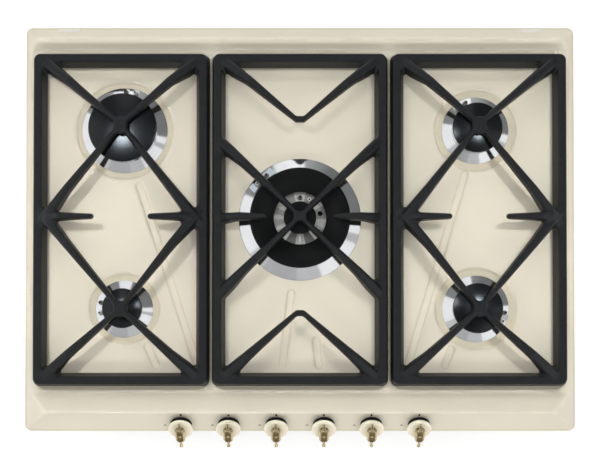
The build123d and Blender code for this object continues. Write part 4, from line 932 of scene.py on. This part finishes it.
class COOKTOP_OT_knobs(bpy.types.Operator):
    """Turns the knob skirts, shapes the brass levers and sets the black rings behind them"""

    bl_idname = "cooktop.knobs"
    bl_label = "Knobs"

    def execute(self, context):
        colours = context.scene.cooktop_colours
        sizes = context.scene.cooktop_knobs
        cream = cream_enamel("lacquered_metal_skirt", colours.cream_knob, 0.22)
        brass = plain_metal("antique_brass", colours.brass, 0.26, 0.003, 0.05)
        patina = plain_metal("brass_patina", "8C7A58", 0.45)
        steel = plain_metal("bright_steel", "B4B5B6", 0.3)
        black = moulded("black_moulded_ring", "020202", 0.8)
        for number in KNOBS:
            self.skirt(number, sizes.skirt_radius / MM, cream)
            self.lever(number, brass, patina)
            dress(f"knob_stem_{number}", steel)
            self.bezel(number, black)
        return {"FINISHED"}

    def bezel(self, number, material):
        profile = [(6.6, 0.02), (8.6, 0.02), (8.6, 1.6), (14.2, 4.2), (14.2, 6.9), (13.7, 7.4), (6.6, 7.4),
                   (6.6, 0.02)]
        piece = turned(eased(profile, 0.3, 2))
        settle(piece, f"black_bezel_{number}", knob_place(number))
        finish_piece(piece, "cooktop", material, "knob_bezels")

    def lever(self, number, brass, patina):
        """Rounds the cast lever's edges and darkens the sunk ring in its face."""
        cast = cad_copy(f"knob_handle_{number}")
        apply_modifier(cast, "REMESH", mode="VOXEL", voxel_size=0.36 * MM)
        apply_modifier(cast, "SMOOTH", factor=0.5, iterations=3)
        apply_modifier(cast, "DECIMATE", ratio=0.35)
        settle(cast, f"brass_lever_{number}")
        finish_piece(cast, f"knob_{number}", brass, f"knob_handle_{number}", angle=180)
        cast.data.materials.append(patina)
        upright = knob_place(number).inverted()
        for face in cast.data.polygons:
            spot = upright @ face.center / MM
            if (SUNK_RING_Z[0] < spot.z < SUNK_RING_Z[1] and abs(spot.x) < SUNK_RING_HALF[0]
                    and abs(spot.y) < SUNK_RING_HALF[1]):
                face.material_index = 1

    def skirt(self, number, radius, material):
        profile = [(3.1, 4), (5.6, 4), (5.6, 10.8), (radius - 0.4, 10.8), (radius, 11.3), (radius, 13.2),
                   (radius - 0.9, 14.6), (radius - 3, 15.2), (3.1, 15.2), (3.1, 4)]
        piece = turned(eased(profile, 0.6, 3))
        settle(piece, f"cream_skirt_{number}", knob_place(number))
        finish_piece(piece, f"knob_{number}", material, f"knob_skirt_{number}")


# ---------------------------------------------------------------- everything below the top


class COOKTOP_OT_fittings(bpy.types.Operator):
    """Gives the box, gas train, electrics and fixings their materials"""

    bl_idname = "cooktop.fittings"
    bl_label = "Fittings"

    def execute(self, context):
        zinc = plain_metal("galvanised_sheet", "B8BABC", 0.42, 0.012, 0.04)
        brass = plain_metal("forged_brass", "B89C62", 0.34)
        tube = plain_metal("drawn_aluminium_tube", "C3C4C4", 0.3)
        housing = moulded("grey_moulded_housing", "4C4D4F", 0.5)
        chosen = {
            "slot_caps": moulded("cream_moulded_plug", "FAF6EC", 0.3),
            "worktop_seal": moulded("closed_cell_foam", "3A3A3A", 0.85),
            "under_box": zinc,
            "hold_down_clamps": zinc,
            "screws": plain_metal("zinc_plated_screw", "A9ABAD", 0.32),
            "gas_rail": plain_metal("plated_gas_tube", "9FA1A3", 0.35),
            "gas_inlet_elbow": brass,
            "gas_taps": plain_metal("die_cast_tap_body", "B4B4AF", 0.42),
            "gas_pipes": tube,
            "spark_generator": housing,
            "terminal_block": moulded("white_moulded_block", "E3E3DF", 0.45),
            "cable_gland": housing,
        }
        for node, material in chosen.items():
            dress(node, material)
        for number in KNOBS:
            dress(f"tap_rotor_{number}", brass)
        return {"FINISHED"}


# ---------------------------------------------------------------- stage


# The studio's white and grey panels, set to suit the reflections in the polished collars: each starts
# at an angle, anticlockwise from the right, and has a brightness
PANELS = ((-180, 0.95), (-155, 0.6), (-135, 0.46), (-95, 0.56), (-65, 0.95), (-15, 0.5), (-5, 0.95), (8, 0.2),
          (45, 0.17), (85, 0.85), (112, 0.25), (145, 0.95))
# How bright they are from the horizon up to the zenith, as (sine of the elevation, brightness)
PANEL_HEIGHTS = ((0.0, 0.3), (0.26, 0.5), (0.34, 1.0), (0.86, 1.0), (0.92, 0.1), (1.0, 0.1))
# Two soft glows on top of them, as (direction, where it starts and is full as cosines, colour):
# a large box overhead, a little behind the zenith, and a white wall low at the rear
GLOWS = (
    ((0.0, 0.14, 0.99), (0.962, 0.985), (0.5, 0.55, 0.6)),
    ((0.0, 0.96, 0.29), (0.86, 0.97), (0.3, 0.3, 0.3)),
)
# Each light: its place, its aim and its size in metres, watts, spread in degrees, whether it shows in
# reflections, its colour, and the group of pieces that it falls on, or none for all
ORIGIN, KEY, STRIP, SMALL = (0.0, 0.0, 0.0), (0.08, 0.08), (2.0, 0.15), (0.25, 0.25)
LIGHTS = {
    "overhead_light": ((0.0, 0.0, 2.2), ORIGIN, (2.2, 2.2), 7, 180, False, "FFFFFF", None),
    "rear_left_light": ((-0.52, 0.34, 1.25), (-0.37, -0.07, 0.0), KEY, 0.6, 55, False, "FFFFFF", None),
    "rear_right_light": ((0.54, 0.30, 1.25), (0.35, -0.07, 0.0), KEY, 0.55, 55, False, "FFFFFF", None),
    "rear_strip_light": ((0.0, 1.5, 1.5), ORIGIN, STRIP, 7, 180, True, "FFFFFF", "enamel_folds"),
    "front_strip_light": ((0.0, -1.5, 1.5), ORIGIN, STRIP, 9, 180, True, "FFFFFF", "enamel_folds"),
    "left_cap_light": ((-0.41, 0.19, 1.25), (-0.328, 0.0, 0.0), SMALL, 1.0, 60, True, "E8F4FF", "domed_caps"),
    "right_cap_light": ((0.43, 0.14, 1.25), (0.344, 0.0, 0.0), SMALL, 1.0, 60, True, "E8F4FF", "domed_caps"),
}
LIT_GROUPS = {
    "enamel_folds": ["pressed_top"] + [f"{part}_{number}" for number in KNOBS
                                       for part in ("cream_skirt", "brass_lever")],
    "domed_caps": [f"domed_cap_{name}" for name in SIDE_BURNERS],
}


class COOKTOP_OT_stage(bpy.types.Operator):
    """Sets the floor, the soft lights and the camera"""

    bl_idname = "cooktop.stage"
    bl_label = "Stage"

    def execute(self, context):
        self.floor()
        self.world(context.scene)
        groups = {None: None}
        for name, pieces in LIT_GROUPS.items():
            groups[name] = bpy.data.collections.new(name)
            for piece in pieces:
                groups[name].objects.link(bpy.data.objects[piece])
        for name, (*settings, group) in LIGHTS.items():
            light = self.soft_box(name, *settings)
            light.light_linking.receiver_collection = groups[group]
        self.camera(context)
        context.scene.view_settings.view_transform = "Standard"
        return {"FINISHED"}

    def floor(self):
        select_only()
        low = CAD_BOX[0].z - 0.0002
        bpy.ops.mesh.primitive_plane_add(size=12, location=(0, 0, low))
        ground = bpy.context.object
        settle(ground, "studio_floor")
        paper, tree, shader = new_material("white_paper", Roughness=0.9, Emission_Strength=0.55)
        shader.inputs["Base Color"].default_value = linear("F4F4F4")
        shader.inputs["Emission Color"].default_value = linear("FFFFFF")
        ground.data.materials.append(paper)

    def world(self, scene):
        """Wraps the studio's panels and glows round the scene."""
        sky = bpy.data.worlds.new("studio_white")
        scene.world = sky
        sky.use_nodes = True
        tree = sky.node_tree
        background = tree.nodes["Background"]
        place = add_node(tree, "ShaderNodeTexCoord")
        split = add_node(tree, "ShaderNodeSeparateXYZ", links={"Vector": place.outputs["Generated"]})
        height = add_node(tree, "ShaderNodeValToRGB", links={"Fac": split.outputs["Z"]})
        set_ramp(height, [(share, grey(level)) for share, level in PANEL_HEIGHTS])
        turn = add_node(tree, "ShaderNodeTexGradient", links={"Vector": place.outputs["Generated"]},
                        gradient_type="RADIAL")
        panels = add_node(tree, "ShaderNodeValToRGB", links={"Fac": turn.outputs["Fac"]})
        panels.color_ramp.interpolation = "CONSTANT"
        set_ramp(panels, [(0.5 + angle / 360, grey(level)) for angle, level in PANELS])
        mixed = add_node(tree, "ShaderNodeMix", {"Factor": 1.0},
                         {6: height.outputs["Color"], 7: panels.outputs["Color"]},
                         data_type="RGBA", blend_type="MULTIPLY")
        light = mixed.outputs[2]
        for direction, reach, full in GLOWS:
            toward = add_node(tree, "ShaderNodeVectorMath", {1: direction}, {0: place.outputs["Generated"]},
                              operation="DOT_PRODUCT")
            share = add_node(tree, "ShaderNodeMapRange", {"From Min": reach[0], "From Max": reach[1]},
                             {"Value": toward.outputs["Value"]})
            glow = add_node(tree, "ShaderNodeMix", {6: (0, 0, 0, 1), 7: (*full, 1)},
                            {"Factor": share.outputs["Result"]}, data_type="RGBA")
            total = add_node(tree, "ShaderNodeMix", {"Factor": 1.0}, {6: light, 7: glow.outputs[2]},
                             data_type="RGBA", blend_type="ADD")
            light = total.outputs[2]
        tree.links.new(light, background.inputs["Color"])
        background.inputs["Strength"].default_value = 1.0

    def soft_box(self, name, place, target, size, power, spread, reflected, code):
        bpy.ops.object.light_add(type="AREA", location=place)
        light = bpy.context.object
        light.name = name
        light.data.shape = "RECTANGLE"
        light.data.size, light.data.size_y = size
        light.data.energy = power
        light.data.spread = math.radians(spread)
        light.data.color = linear(code)[:3]
        light.visible_glossy = reflected
        aim = Vector(target) - Vector(place)
        light.rotation_euler = aim.to_track_quat("-Z", "Y").to_euler()
        return light

    def camera(self, context):
        sizes = context.scene.cooktop_stage
        bpy.ops.object.camera_add(location=(0, sizes.camera_y, sizes.camera_height),
                                  rotation=(sizes.camera_tilt, 0, 0))
        view = context.object
        view.data.lens = sizes.focal
        view.data.shift_y = sizes.upward_shift
        context.scene.camera = view


# ---------------------------------------------------------------- panel and registration


class COOKTOP_PT_sidebar(bpy.types.Panel):
    bl_label = "Cooktop"
    bl_idname = "COOKTOP_PT_sidebar"
    bl_space_type = "VIEW_3D"
    bl_region_type = "UI"
    bl_category = "Cooktop"

    def draw(self, context):
        for group in GROUPS:
            owner = getattr(context.scene, group)
            for name in owner.__annotations__:
                self.layout.prop(owner, name)
        for operator in STEPS:
            self.layout.operator(operator.bl_idname)


GROUPS = {
    "cooktop_top": PressedTopSizes,
    "cooktop_supports": CastSupportSizes,
    "cooktop_burners": BurnerSizes,
    "cooktop_knobs": KnobSizes,
    "cooktop_colours": FinishColours,
    "cooktop_stage": StageSizes,
}
STEPS = (
    COOKTOP_OT_pressed_top,
    COOKTOP_OT_pan_supports,
    COOKTOP_OT_burner_caps,
    COOKTOP_OT_burner_collars,
    COOKTOP_OT_burner_inner_parts,
    COOKTOP_OT_knobs,
    COOKTOP_OT_fittings,
    COOKTOP_OT_stage,
)


def register():
    for group in GROUPS.values():
        bpy.utils.register_class(group)
    for name, group in GROUPS.items():
        setattr(bpy.types.Scene, name, PointerProperty(type=group))
    for operator in STEPS:
        bpy.utils.register_class(operator)
    bpy.utils.register_class(COOKTOP_PT_sidebar)


def unregister():
    bpy.utils.unregister_class(COOKTOP_PT_sidebar)
    for operator in reversed(STEPS):
        bpy.utils.unregister_class(operator)
    for name, group in GROUPS.items():
        delattr(bpy.types.Scene, name)
        bpy.utils.unregister_class(group)


def main():
    register()
    select_only()
    bpy.ops.cooktop.pressed_top()
    bpy.ops.cooktop.pan_supports()
    bpy.ops.cooktop.burner_caps()
    bpy.ops.cooktop.burner_collars()
    bpy.ops.cooktop.burner_inner_parts()
    bpy.ops.cooktop.knobs()
    bpy.ops.cooktop.fittings()
    bpy.ops.cooktop.stage()


if __name__ == "__main__":
    main()
